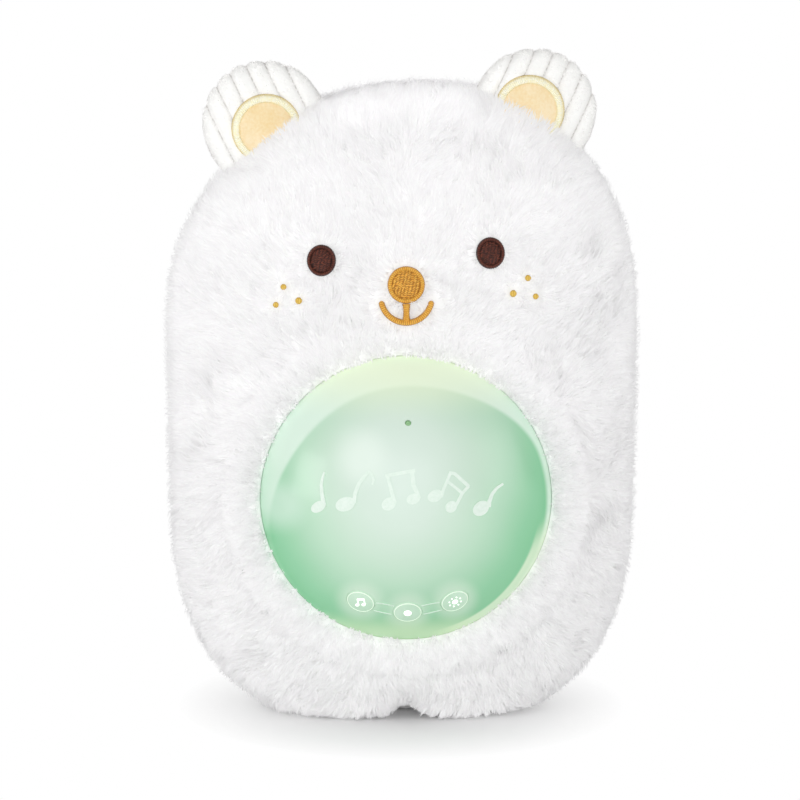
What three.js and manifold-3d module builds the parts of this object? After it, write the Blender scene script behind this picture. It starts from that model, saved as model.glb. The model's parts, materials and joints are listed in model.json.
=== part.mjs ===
// Musical plush bear with a glowing dome in its belly
// Millimetres, +Z up. The bear looks towards -Y. Left and right are as seen from its front.
// The origin is the middle of the flat base.
import * as THREE from 'three';
import { mergeVertices } from 'three/addons/utils/BufferGeometryUtils.js';
import Module from 'manifold-3d';

const wasm = await Module();
wasm.setup();

// Driving dimensions of the sewn body, head and trunk in one
const bodyHeight = 250;
const bodyDepth = 108;
const shoulderWidth = 190;
const bellyTaper = 3;
const bellyHeight = 75;
const shoulderHeight = 160;
const baseWidth = 84;
const baseDepth = 60;
const baseFlatCut = 0.5;
const coverThickness = 10;
const seamHeight = 4.5;
const seamWidth = 14;
const bellyWidth = shoulderWidth - bellyTaper;

// How square the body's curves are: 2 is an ellipse, more is squarer
const planRoundness = 2.5;
const lowRoundness = 2.1;
const crownRoundness = 2.2;
const crownDepthRoundness = 0.9;

// The soft head leans a little, so its right side stands higher
const headTilt = THREE.MathUtils.degToRad(3.6);
const tiltStart = 110;
const tiltEnd = 250;

// Clearances
const fitGap = 0.3;
const clothGap = 0.5;
const overrun = 20;

// Dome and its place in the belly
const domeRimRadius = 58;
const domeRise = 33.5;
const domeCentreHeight = 93.5;
const rimSetBack = 3;
const lensWall = 2.5;
const skirtDepth = 7;
const flangeRadius = 64;
const flangeThickness = 2;
const collarPlane = 1.5;
const collarWidth = 6;
const collarFade = 26;
const domeSphereRadius = (domeRimRadius ** 2 + domeRise ** 2) / (2 * domeRise);

// Facets of round pieces
const domeSides = 40;
const middleSides = 24;
const smallSides = 16;
const screwSides = 10;
const cornerSteps = 3;

// Shared helpers

const smooth = (t) => {
  const s = Math.min(1, Math.max(0, t));
  return s * s * (3 - 2 * s);
};

const roundOff = (t, power) => Math.pow(Math.max(0, 1 - Math.pow(Math.abs(t), power)), 1 / power);

const signedPower = (value, power) => Math.sign(value) * Math.pow(Math.abs(value), power);

function solidOf(source, matrix = new THREE.Matrix4()) {
  const bare = (source.index ? source.toNonIndexed() : source.clone());
  bare.deleteAttribute('normal');
  bare.deleteAttribute('uv');
  bare.applyMatrix4(matrix);
  const merged = mergeVertices(bare);
  const points = merged.attributes.position;
  const corners = [];
  let volume = 0;
  const a = new THREE.Vector3();
  const b = new THREE.Vector3();
  const c = new THREE.Vector3();
  for (let i = 0; i < merged.index.count; i += 3) {
    const [p, q, r] = [0, 1, 2].map((k) => merged.index.getX(i + k));
    if (p === q || q === r || r === p) continue;
    corners.push([p, q, r]);
    a.fromBufferAttribute(points, p);
    b.fromBufferAttribute(points, q);
    c.fromBufferAttribute(points, r);
    volume += a.dot(b.cross(c));
  }
  const faces = volume < 0 ? corners.map(([p, q, r]) => [p, r, q]) : corners;
  return new wasm.Manifold(new wasm.Mesh({
    numProp: 3,
    vertProperties: new Float32Array(points.array),
    triVerts: new Uint32Array(faces.flat()),
  }));
}

function geometryOf(solid) {
  const mesh = solid.getMesh();
  const geometry = new THREE.BufferGeometry();
  geometry.setAttribute('position', new THREE.BufferAttribute(new Float32Array(mesh.vertProperties), 3));
  geometry.setIndex(new THREE.BufferAttribute(new Uint32Array(mesh.triVerts), 1));
  geometry.computeVertexNormals();
  return geometry;
}

function finish(color, roughness, metalness = 0) {
  return new THREE.MeshStandardMaterial({ color, roughness, metalness });
}

function place(group, name, shape, material) {
  const geometry = shape instanceof THREE.BufferGeometry ? geometryOf(solidOf(shape)) : geometryOf(shape);
  const mesh = new THREE.Mesh(geometry, material);
  mesh.name = name;
  group.add(mesh);
  return mesh;
}

// A revolve about local Z, from a profile of [radius, height] pairs
function revolve(profile, sides) {
  const points = profile.map(([radius, height]) => new THREE.Vector2(radius, height));
  const geometry = new THREE.LatheGeometry(points, sides);
  geometry.rotateX(Math.PI / 2);
  return geometry;
}

function ringProfile(inner, outer, low, high) {
  return [[inner, low], [outer, low], [outer, high], [inner, high], [inner, low]];
}

function rod(radius, low, high, sides) {
  return revolve([[0, low], [radius, low], [radius, high], [0, high]], sides);
}

function block(low, high) {
  const size = high.map((value, i) => value - low[i]);
  const geometry = new THREE.BoxGeometry(...size);
  geometry.translate(...low.map((value, i) => value + size[i] / 2));
  return geometry;
}

// Points of an arc as [radius, height] pairs, angles from the axis
function arcPoints(radius, centre, from, to, steps) {
  return Array.from({ length: steps + 1 }, (_, i) => {
    const angle = from + (to - from) * i / steps;
    return [radius * Math.sin(angle), centre + radius * Math.cos(angle)];
  });
}

// The body's form

function settle(x, z) {
  return z + Math.tan(headTilt) * x * smooth((z - tiltStart) / (tiltEnd - tiltStart));
}

function halfSizes(z) {
  const across = Math.min(1, Math.max(0, (z - bellyHeight) / (shoulderHeight - bellyHeight)));
  const width = (bellyWidth + (shoulderWidth - bellyWidth) * across) / 2;
  if (z < bellyHeight) {
    const fill = roundOff((bellyHeight - z) / (bellyHeight + baseFlatCut), lowRoundness);
    const halfDepth = (baseDepth + (bodyDepth - baseDepth) * fill) / 2;
    return [(baseWidth + (bellyWidth - baseWidth) * fill) / 2, halfDepth];
  }
  if (z > shoulderHeight) {
    const fill = roundOff((z - shoulderHeight) / (bodyHeight - shoulderHeight), crownRoundness);
    return [width * fill, bodyDepth / 2 * Math.pow(fill, crownDepthRoundness)];
  }
  return [width, bodyDepth / 2];
}

function plainFront(x, z) {
  const [halfWidth, halfDepth] = halfSizes(z);
  return -halfDepth * roundOff(Math.min(1, Math.abs(x) / halfWidth), planRoundness);
}

// The fur rises in a soft ring around the dome
const rimPlane = -bodyDepth / 2 + rimSetBack;
const collarFront = rimPlane - collarPlane;

function collarRise(x, z) {
  const distance = Math.hypot(x, z - domeCentreHeight);
  const near = 1 - smooth((distance - domeRimRadius - collarWidth) / collarFade);
  return near * Math.min(0, collarFront - plainFront(x, z));
}

function frontPoint(x, z) {
  const y = plainFront(x, z) + collarRise(x, z);
  return new THREE.Vector3(x, y, settle(x, z));
}

// A frame on the front of the body: local Z points out, local Y up the face
function frontFrame(x, z, lift) {
  const point = frontPoint(x, z);
  const side = frontPoint(x + fitGap, z).sub(frontPoint(x - fitGap, z)).normalize();
  const up = frontPoint(x, z + fitGap).sub(frontPoint(x, z - fitGap)).normalize();
  const out = side.clone().cross(up).normalize();
  up.crossVectors(out, side);
  point.addScaledVector(out, lift);
  return new THREE.Matrix4().makeBasis(side, up, out).setPosition(point);
}

// The closed form of the body, drawn in by an inset on every side
function bodyForm(inset, around, counts) {
  const rings = [];
  const low = inset - baseFlatCut;
  const high = bodyHeight - inset;
  rings.push([(baseWidth / 2 - inset) / 2, (baseDepth / 2 - inset) / 2, low]);
  for (let i = 0; i <= counts.low; i += 1) {
    const turn = Math.PI / 2 * (1 - i / counts.low);
    const rise = signedPower(Math.sin(turn), 2 / lowRoundness);
    const fill = signedPower(Math.cos(turn), 2 / lowRoundness);
    rings.push([
      (baseWidth + (bellyWidth - baseWidth) * fill) / 2 - inset,
      (baseDepth + (bodyDepth - baseDepth) * fill) / 2 - inset,
      bellyHeight - (bellyHeight - low) * rise,
    ]);
  }
  for (let i = 1; i < counts.middle; i += 1) {
    const share = i / counts.middle;
    rings.push([
      (bellyWidth + (shoulderWidth - bellyWidth) * share) / 2 - inset,
      bodyDepth / 2 - inset,
      bellyHeight + (shoulderHeight - bellyHeight) * share,
    ]);
  }
  for (let i = 0; i < counts.crown; i += 1) {
    const turn = Math.PI / 2 * i / counts.crown;
    const fill = signedPower(Math.cos(turn), 2 / crownRoundness);
    const rise = signedPower(Math.sin(turn), 2 / crownRoundness);
    rings.push([
      (shoulderWidth / 2 - inset) * fill,
      (bodyDepth / 2 - inset) * Math.pow(fill, crownDepthRoundness),
      shoulderHeight + (high - shoulderHeight) * rise,
    ]);
  }
  const points = [[0, 0, low]];
  for (const [halfWidth, halfDepth, z] of rings) {
    for (let k = 0; k < around; k += 1) {
      const angle = 2 * Math.PI * k / around - Math.PI / 2;
      const x = halfWidth * signedPower(Math.cos(angle), 2 / planRoundness);
      const y = halfDepth * signedPower(Math.sin(angle), 2 / planRoundness);
      const rise = y < 0 ? collarRise(x, z) : 0;
      const seam = seamHeight * Math.exp(-Math.pow(2 * x / seamWidth, 2))
        * smooth((-y - baseDepth / 4) / (baseDepth / 4)) * (1 - smooth(z / (seamHeight * 4)));
      points.push([x, y + rise, settle(x, z + (inset > 0 ? 0 : seam))]);
    }
  }
  points.push([0, 0, high]);
  const faces = [];
  const at = (ring, k) => 1 + ring * around + (k % around);
  const last = points.length - 1;
  for (let k = 0; k < around; k += 1) {
    faces.push(0, at(0, k + 1), at(0, k), last, at(rings.length - 1, k), at(rings.length - 1, k + 1));
    for (let ring = 0; ring + 1 < rings.length; ring += 1) {
      faces.push(at(ring, k), at(ring, k + 1), at(ring + 1, k));
      faces.push(at(ring, k + 1), at(ring + 1, k + 1), at(ring + 1, k));
    }
  }
  const geometry = new THREE.BufferGeometry();
  geometry.setAttribute('position', new THREE.Float32BufferAttribute(points.flat(), 3));
  geometry.setIndex(faces);
  return solidOf(geometry);
}

const outerCounts = { low: 9, middle: 8, crown: 9 };
const innerCounts = { low: 6, middle: 5, crown: 6 };
const outerAround = 44;
const innerAround = 28;

// Module frame: local X points right, local Y up, local Z out of the belly
const moduleFrame = new THREE.Matrix4().makeRotationX(Math.PI / 2).setPosition(0, rimPlane, domeCentreHeight);
const inModule = (geometry) => solidOf(geometry, moduleFrame);

// Sizes of the housing behind the dome
const wall = 2.2;
const bucketDepth = 45;
const bucketMouthRadius = 57.5;
const bucketBackRadius = 55;
const bucketCorner = 3;
const ringOuterRadius = 65;
const ringThickness = 2;
const flangeFront = -(skirtDepth - flangeThickness);
const ringBack = flangeFront + fitGap;
const ringFront = ringBack + ringThickness;
const housingFlangeFront = -skirtDepth - fitGap;
const housingFlangeBack = housingFlangeFront - flangeThickness;
const bucketBack = -bucketDepth;
const bucketFloor = bucketBack + wall;

// Screws that clamp housing, lens and ring together
const screwRadius = 1.3;
const screwHeadRadius = 2.5;
const screwHeadHeight = 1.8;
const screwHoleRadius = screwRadius + fitGap;
const screwCircle = 60.7;
const screwAngles = [1, 3, 5, 7].map((eighth) => eighth * Math.PI / 4);

// Batteries and their bay
const cellRadius = 7.1;
const cellLength = 50.2;
const cellNubRadius = 2.75;
const cellNubLength = 1;
const cellPitch = 15.2;
const cellCount = 3;
const contactThickness = 0.5;
const springHeight = 1.2;
const baySideRoom = 1.2;
const bayWidth = cellCount * cellPitch + baySideRoom;
const bayLength = cellLength + 4 * fitGap + 2 * contactThickness + springHeight;
const bayDepth = 2 * (cellRadius + fitGap);
const doorThickness = 1.7;
const doorLip = 1.2;
const doorTravel = 18;
const screwPostWidth = 7;
const switchPocketWidth = 7;
const towerWidth = 2 * wall + bayWidth + screwPostWidth + switchPocketWidth;
const towerHeight = bayLength + 2 * wall;
const towerDepth = 26;
const towerCentre = -14;
const towerLeft = -towerWidth / 2;
const towerLow = towerCentre - towerHeight / 2;
const towerHigh = towerCentre + towerHeight / 2;
const towerBack = bucketBack - towerDepth;
const bayLeft = towerLeft + wall;
const bayRight = bayLeft + bayWidth;
const bayLow = towerLow + wall;
const bayHigh = towerHigh - wall;
const bayMouth = towerBack + doorThickness + fitGap;
const bayFloor = bayMouth + bayDepth;

// Access opening in the back of the cover
const flapHalfWidth = 34;
const flapLow = 48;
const flapHigh = 107;
const flapBack = bodyDepth / 2;
const flapThickness = 4.5;
const flapEdgeGap = 0.4;
const stripThickness = 1;
const stripHalfWidth = 26;
const stripLow = 50;
const stripHigh = 58;
const mouthHalfWidth = 30;
const mouthLow = 60;
const mouthHigh = 104;
const flapInner = flapBack - flapThickness;
const hookBack = flapInner - fitGap;
const loopBack = hookBack - stripThickness - fitGap;
const ledgeBack = loopBack - stripThickness - fitGap;

// Finishes
const furWhite = finish('#f6f6f4', 0.95);
const stuffingWhite = finish('#efefec', 0.98);
const corduroyWhite = finish('#f5f5f2', 0.9);
const liningPeach = finish('#fbe3bd', 0.85);
const threadBrown = finish('#40241f', 0.6);
const threadGold = finish('#dfa03a', 0.55);
const lensMint = finish('#c2e4cc', 0.18);
const buttonWhite = finish('#eef8f0', 0.3);
const ringWhite = finish('#e9ece8', 0.5);
const housingWhite = finish('#f1f1ee', 0.55);
const diffuserWhite = finish('#f7f7f2', 0.4);
const boardGreen = finish('#1f6b43', 0.6);
const switchBlack = finish('#1d1d1f', 0.5);
const steel = finish('#b9bcc0', 0.35, 1);
const ledYellow = finish('#fdf3c4', 0.3);
const cellBlue = finish('#3d6fa8', 0.35);
const paperBlack = finish('#2a2a2c', 0.85);
const stripWhite = finish('#f2f2f0', 0.9);

const toy = new THREE.Group();
const soundModule = new THREE.Group();
moduleFrame.decompose(soundModule.position, soundModule.quaternion, soundModule.scale);
toy.add(soundModule);

// Fur cover: a thick skin with a round hole in the belly and an opening at the back

const outerBody = bodyForm(0, outerAround, outerCounts);
const liningBody = bodyForm(coverThickness, innerAround, innerCounts);
const floorCut = solidOf(block(
  [-shoulderWidth, -bodyDepth, -overrun],
  [shoulderWidth, bodyDepth, 0],
));
const domeHole = inModule(rod(domeRimRadius + fitGap, -bodyDepth / 2, overrun, domeSides));
const flangeSeat = inModule(rod(ringOuterRadius + fitGap, -overrun, ringFront + fitGap, domeSides));
const flapSeat = solidOf(block(
  [-flapHalfWidth, ledgeBack, flapLow],
  [flapHalfWidth, flapBack + overrun, flapHigh],
));
const accessMouth = solidOf(block(
  [-mouthHalfWidth, 0, mouthLow],
  [mouthHalfWidth, flapBack + overrun, mouthHigh],
));
const cover = outerBody
  .subtract(floorCut)
  .subtract(liningBody)
  .subtract(domeHole)
  .subtract(flangeSeat)
  .subtract(flapSeat)
  .subtract(accessMouth);
place(toy, 'plush_cover', cover, furWhite);

// Access flap: the piece of the same skin that closes the opening, and its fastener

const flapBlank = solidOf(block(
  [-flapHalfWidth + flapEdgeGap, flapInner, flapLow + flapEdgeGap],
  [flapHalfWidth - flapEdgeGap, flapBack + overrun, flapHigh - flapEdgeGap],
));
place(toy, 'access_flap', outerBody.intersect(flapBlank), furWhite);
for (const [name, back] of [['hook_strip', hookBack], ['loop_strip', loopBack]]) {
  place(toy, name, block(
    [-stripHalfWidth, back - stripThickness, stripLow],
    [stripHalfWidth, back, stripHigh],
  ), stripWhite);
}

// Stuffing: fills the cover around the module, with a channel to the battery door

const pocketRadius = ringOuterRadius + clothGap;
const pocketStep = housingFlangeBack - screwHeadHeight - 2 * fitGap;
const flangePocket = inModule(rod(pocketRadius, pocketStep, overrun, domeSides));
const bucketPocket = inModule(rod(bucketMouthRadius + clothGap, bucketBack - clothGap, overrun, domeSides));
const channel = inModule(block(
  [towerLeft - clothGap, towerLow - clothGap, rimPlane - bodyDepth / 2],
  [-towerLeft + clothGap, towerHigh + clothGap, bucketBack],
));
const stuffing = bodyForm(coverThickness + clothGap, innerAround, innerCounts)
  .subtract(flangePocket)
  .subtract(bucketPocket)
  .subtract(channel);
place(toy, 'stuffing', stuffing, stuffingWhite);

// Ears: flat stuffed rounds of wide-ribbed corduroy, leaning outwards

const earRadius = 24;
const earThickness = 18;
const earRibCount = 7;
const earRibRise = 1.1;
const earSideShare = 0.29;
const earRise = 4;
const earLean = THREE.MathUtils.degToRad(23);
const earRibSteps = 4;
const earSide = earSideShare * shoulderWidth;
const crownFill = roundOff(2 * earSide / shoulderWidth, crownRoundness);
const earHeight = shoulderHeight + (bodyHeight - shoulderHeight) * crownFill + earRise;
const earRingPoints = 12;
const liningRadius = 14;
const liningThickness = 1.2;
const liningBorder = 3.5;
const liningBorderRise = 0.8;
const liningSides = 24;
const bodyClearance = bodyForm(-fitGap, outerAround, outerCounts);

function earGeometry() {
  const pitch = 2 * earRadius / earRibCount;
  const columns = earRibCount * earRibSteps;
  const points = [[-earRadius, 0, 0]];
  for (let i = 1; i < columns; i += 1) {
    const u = -earRadius + 2 * earRadius * i / columns;
    const fill = Math.sqrt(1 - (u / earRadius) ** 2);
    const rib = earRibRise * Math.abs(Math.cos(Math.PI * u / pitch));
    for (let k = 0; k < earRingPoints; k += 1) {
      const angle = 2 * Math.PI * k / earRingPoints;
      points.push([
        u,
        (earThickness / 2 * fill + rib) * Math.sin(angle),
        (earRadius * fill + rib) * Math.cos(angle),
      ]);
    }
  }
  points.push([earRadius, 0, 0]);
  const at = (ring, k) => 1 + ring * earRingPoints + (k % earRingPoints);
  const last = points.length - 1;
  const faces = [];
  for (let k = 0; k < earRingPoints; k += 1) {
    faces.push(0, at(0, k), at(0, k + 1), last, at(columns - 2, k + 1), at(columns - 2, k));
    for (let ring = 0; ring < columns - 2; ring += 1) {
      faces.push(at(ring, k), at(ring + 1, k), at(ring, k + 1));
      faces.push(at(ring, k + 1), at(ring + 1, k), at(ring + 1, k + 1));
    }
  }
  const geometry = new THREE.BufferGeometry();
  geometry.setAttribute('position', new THREE.Float32BufferAttribute(points.flat(), 3));
  geometry.setIndex(faces);
  return geometry;
}

// The lining lies on the ear's crown and has a raised satin-stitch border
function liningGeometry() {
  const steps = 5;
  const seat = (r) => earThickness / 2 * Math.sqrt(1 - (r / earRadius) ** 2) + earRibRise + fitGap;
  const radii = Array.from({ length: steps + 1 }, (_, i) => liningRadius * i / steps);
  const under = radii.map((r) => [r, seat(r)]);
  const borderInner = liningRadius - liningBorder;
  const over = [
    [liningRadius, seat(liningRadius) + liningThickness],
    [liningRadius - liningBorder / 2, seat(liningRadius) + liningThickness + liningBorderRise],
    [borderInner, seat(borderInner) + liningThickness],
    [borderInner / 2, seat(borderInner / 2) + liningThickness],
    [0, seat(0) + liningThickness],
  ];
  const geometry = revolve([...under, ...over], liningSides);
  geometry.rotateX(Math.PI / 2);
  return geometry;
}

for (const [side, name] of [[-1, 'left'], [1, 'right']]) {
  const frame = new THREE.Matrix4()
    .makeRotationY(side * earLean - headTilt)
    .setPosition(side * earSide, 0, settle(side * earSide, earHeight));
  place(toy, `${name}_ear`, solidOf(earGeometry(), frame).subtract(bodyClearance), corduroyWhite);
  place(toy, `${name}_ear_lining`, solidOf(liningGeometry(), frame).subtract(bodyClearance), liningPeach);
}

// Embroidered face: padded satin-stitch rounds, a smile and freckles

const eyeWidth = 11.6;
const eyeHeight = 12.6;
const eyeSide = 33.5;
const eyeAboveNose = 10.8;
const noseWidth = 14.8;
const noseAboveSmile = 5;
const smileAboveDome = 24;
const stitchRing = 2.2;
const stitchBase = 0.8;
const stitchRise = 0.6;
const roundSides = 20;
const smileRadius = 10.1;
const smileStroke = 2.4;
const smileLevel = domeCentreHeight + domeRimRadius + smileAboveDome;
const noseLevel = smileLevel + noseAboveSmile;
const eyeLevel = noseLevel + eyeAboveNose;
const smileHalfAngle = THREE.MathUtils.degToRad(82);
const smileSteps = 10;
const smileSides = 8;
const philtrumWidth = 3;
const dotSides = 10;
const dotThickness = 0.9;
// Freckles of one cheek around its middle, as shares of a cheek's size, each with its width as a share
const cheekSide = 47.5;
const cheekBelowNose = 4.1;
const cheekSize = 9;
const dotWidth = 2.5;
const freckleShares = [[0.11, 0.48, 0.95], [-0.55, -0.14, 1.08], [0.45, -0.33, 0.92]];

function stitchedRound(width, height) {
  const radius = width / 2;
  const geometry = revolve([
    [0, 0],
    [radius, 0],
    [radius, stitchBase],
    [radius - stitchRing / 2, stitchBase + stitchRise],
    [radius - stitchRing, stitchBase],
    [0, stitchBase],
  ], roundSides);
  geometry.scale(1, height / width, 1);
  return geometry;
}

function onFace(name, geometry, x, level, material) {
  const solid = solidOf(geometry, frontFrame(x, level, fitGap));
  place(toy, name, solid, material);
}

onFace('left_eye', stitchedRound(eyeWidth, eyeHeight), -eyeSide, eyeLevel, threadBrown);
onFace('right_eye', stitchedRound(eyeWidth, eyeHeight), eyeSide, eyeLevel, threadBrown);
onFace('nose', stitchedRound(noseWidth, noseWidth), 0, noseLevel, threadGold);

class SmileCurve extends THREE.Curve {
  getPoint(t, target = new THREE.Vector3()) {
    const angle = -smileHalfAngle + 2 * smileHalfAngle * t;
    return target.set(smileRadius * Math.sin(angle), -smileRadius * Math.cos(angle), smileStroke / 2);
  }
}

function smileSolid() {
  const section = new THREE.Shape();
  section.absarc(0, 0, smileStroke / 2, 0, 2 * Math.PI);
  const arc = new THREE.ExtrudeGeometry(section, {
    extrudePath: new SmileCurve(),
    steps: smileSteps,
    curveSegments: smileSides,
  });
  const top = noseLevel - smileLevel - noseWidth / 2 - fitGap;
  const bar = block(
    [-philtrumWidth / 2, -smileRadius, 0],
    [philtrumWidth / 2, top, smileStroke * 2 / 3],
  );
  return solidOf(arc).add(solidOf(bar));
}

onFace('mouth', geometryOf(smileSolid()), 0, smileLevel, threadGold);

for (const [side, name] of [[-1, 'left'], [1, 'right']]) {
  freckleShares.forEach(([acrossShare, upShare, widthShare], i) => {
    const width = widthShare * dotWidth;
    const x = cheekSide + acrossShare * cheekSize;
    const level = noseLevel - cheekBelowNose + upShare * cheekSize;
    const dot = revolve([
      [0, 0],
      [width / 2, 0],
      [width / 2, dotThickness / 2],
      [width / 4, dotThickness],
      [0, dotThickness],
    ], dotSides);
    onFace(`${name}_cheek_dot_${i + 1}`, dot, side * x, level, threadGold);
  });
}

// Dome lens: a spherical cap with a skirt and a flange, holes for buttons and microphone

const sphereCentre = -Math.sqrt(domeSphereRadius ** 2 - domeRimRadius ** 2);
const innerSphereRadius = domeSphereRadius - lensWall;
const skirtInnerRadius = domeRimRadius - lensWall;
const outerCapAngle = Math.asin(domeRimRadius / domeSphereRadius);
const innerCapAngle = Math.asin(skirtInnerRadius / innerSphereRadius);
const outerCapSteps = 10;
const innerCapSteps = 7;

const buttonPolar = THREE.MathUtils.degToRad(38.75);
const buttonSpread = THREE.MathUtils.degToRad(26.5);
const buttonRadius = 5.75;
const buttonProud = 0.5;
const buttonEdge = 0.5;
const buttonFlangeRadius = 7.2;
const buttonFlangeThickness = 1.2;
const buttonStemRadius = 2;
const buttonStemLength = 4.5;
const buttonTravel = 0.9;
const buttonHoleRadius = buttonRadius + fitGap;
const microphonePolar = THREE.MathUtils.degToRad(31.8);
const microphoneHoleRadius = 1.3;
const microphoneRadius = 3;
const microphoneHeight = 2.5;

// A frame on the dome's outer surface: polar angle from the tip, turn from straight down
function domeFrame(polar, turn) {
  const out = new THREE.Vector3(
    Math.sin(polar) * Math.sin(turn),
    -Math.sin(polar) * Math.cos(turn),
    Math.cos(polar),
  );
  const side = new THREE.Vector3(0, 1, 0).cross(out).normalize();
  const up = out.clone().cross(side);
  const point = out.clone().multiplyScalar(domeSphereRadius).add(new THREE.Vector3(0, 0, sphereCentre));
  return new THREE.Matrix4().makeBasis(side, up, out).setPosition(point);
}

const buttonFrames = [-1, 0, 1].map((step) => domeFrame(buttonPolar, step * buttonSpread));
const microphoneFrame = domeFrame(microphonePolar, Math.PI);

function lensSolid() {
  const profile = [
    ...arcPoints(domeSphereRadius, sphereCentre, 0, outerCapAngle, outerCapSteps),
    [domeRimRadius, flangeFront],
    [flangeRadius, flangeFront],
    [flangeRadius, -skirtDepth],
    [skirtInnerRadius, -skirtDepth],
    ...arcPoints(innerSphereRadius, sphereCentre, innerCapAngle, 0, innerCapSteps),
  ];
  let lens = solidOf(revolve(profile, domeSides));
  for (const frame of buttonFrames) {
    lens = lens.subtract(solidOf(rod(buttonHoleRadius, -2 * lensWall, lensWall, smallSides), frame));
  }
  const microphoneHole = rod(microphoneHoleRadius, -2 * lensWall, lensWall, screwSides);
  lens = lens.subtract(solidOf(microphoneHole, microphoneFrame));
  return cutScrewHoles(lens);
}

function screwPlace(angle) {
  const x = screwCircle * Math.cos(angle);
  const y = screwCircle * Math.sin(angle);
  return new THREE.Matrix4().makeTranslation(x, y, 0);
}

function cutScrewHoles(solid) {
  return screwAngles.reduce((left, angle) => {
    const hole = rod(screwHoleRadius, housingFlangeBack - wall, ringFront + wall, screwSides);
    return left.subtract(solidOf(hole, screwPlace(angle)));
  }, solid);
}

place(soundModule, 'dome_lens', lensSolid(), lensMint);
const clampProfile = ringProfile(domeRimRadius + fitGap, ringOuterRadius, ringBack, ringFront);
const clampRing = revolve(clampProfile, domeSides);
place(soundModule, 'fabric_clamp_ring', cutScrewHoles(solidOf(clampRing)), ringWhite);

// Push buttons, each sprung on its own switch, and the bracket that holds the switches

const innerDrop = innerSphereRadius - Math.sqrt(innerSphereRadius ** 2 - buttonFlangeRadius ** 2);
const buttonFlangeTop = -lensWall - innerDrop - fitGap;
const buttonFlangeBottom = buttonFlangeTop - buttonFlangeThickness;
const buttonStemEnd = buttonFlangeBottom - buttonStemLength;
const plungerRadius = 1.7;
const plungerHeight = 1;
const switchSize = 6;
const switchHeight = 3.5;
const bracketThickness = 1.6;
const facetLap = 1;
const facetHeight = 12;
const plungerTop = buttonStemEnd - buttonTravel - fitGap;
const switchTop = plungerTop - plungerHeight;
const switchBack = switchTop - switchHeight;
const bracketTop = switchBack - fitGap;
const bracketReach = (domeSphereRadius + bracketTop) * Math.sin(buttonPolar);
const facetWidth = 2 * bracketReach * Math.sin(buttonSpread / 2) + facetLap;
const bracketMiddle = (bracketTop - bracketThickness / 2 + domeSphereRadius) * Math.cos(buttonPolar);
const bracketLevel = bracketMiddle + sphereCentre;

const buttonProfile = [
  [0, buttonProud],
  [buttonRadius / 2, buttonProud * 4 / 5],
  [buttonRadius - buttonEdge, buttonProud / 2],
  [buttonRadius, buttonProud / 2 - buttonEdge],
  [buttonRadius, buttonFlangeTop],
  [buttonFlangeRadius, buttonFlangeTop],
  [buttonFlangeRadius, buttonFlangeBottom],
  [buttonStemRadius, buttonFlangeBottom],
  [buttonStemRadius, buttonStemEnd],
  [0, buttonStemEnd],
];

['music', 'centre', 'brightness'].forEach((name, i) => {
  const frame = buttonFrames[i];
  place(soundModule, `${name}_button`, solidOf(revolve(buttonProfile, smallSides), frame), buttonWhite);
  const base = solidOf(block(
    [-switchSize / 2, -switchSize / 2, switchBack],
    [switchSize / 2, switchSize / 2, switchTop],
  ), frame);
  const plunger = solidOf(rod(plungerRadius, switchBack + switchHeight / 2, plungerTop, screwSides), frame);
  place(soundModule, `key_switch_${i + 1}`, base.add(plunger), switchBlack);
});

// Inner boards stand on posts of the housing

const boardThickness = 1.6;
const mainBoardRadius = 46;
const mainBoardTop = -18;
const mainBoardBack = mainBoardTop - boardThickness;
const postX = 39.3;
const postY = 27.5;
const postRadius = 3;
const ledBoardRadius = 25;
const ledBoardBack = mainBoardTop + fitGap;
const ledBoardTop = ledBoardBack + boardThickness;
const ledSize = 3.5;
const ledHeight = 1.5;
const ledCircle = 13;
const ledCount = 4;
const chipSize = 12;
const chipHeight = 1.5;
const capacitorRadius = 3.2;
const capacitorHeight = 9;
const boardPartX = 34;
const boardPartY = 8;
const diffuserRadius = 28.5;
const diffuserWall = 1.5;
const diffuserTop = 2;
const diffuserRound = 9;
const bracketFootWidth = 14;
const bracketFootDepth = 7;
const bracketFootDrop = 3;
const bracketFootReach = bracketReach + bracketFootDrop;
const bracketFootTop = bracketLevel - bracketFootDrop * Math.tan(buttonPolar);

function bracketSolid() {
  const foot = solidOf(block(
    [-bracketFootWidth / 2, -bracketFootReach - bracketFootDepth / 2, mainBoardTop + fitGap],
    [bracketFootWidth / 2, -bracketFootReach + bracketFootDepth / 2, bracketFootTop],
  ));
  return buttonFrames.reduce((left, frame) => left.add(solidOf(block(
    [-facetWidth / 2, -facetHeight / 2, bracketTop - bracketThickness],
    [facetWidth / 2, facetHeight / 2, bracketTop],
  ), frame)), foot);
}

place(soundModule, 'key_carrier', bracketSolid(), housingWhite);

const microphoneTop = -lensWall - 2 * fitGap;
place(soundModule, 'microphone', solidOf(
  rod(microphoneRadius, microphoneTop - microphoneHeight, microphoneTop, smallSides),
  microphoneFrame,
), steel);

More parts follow.
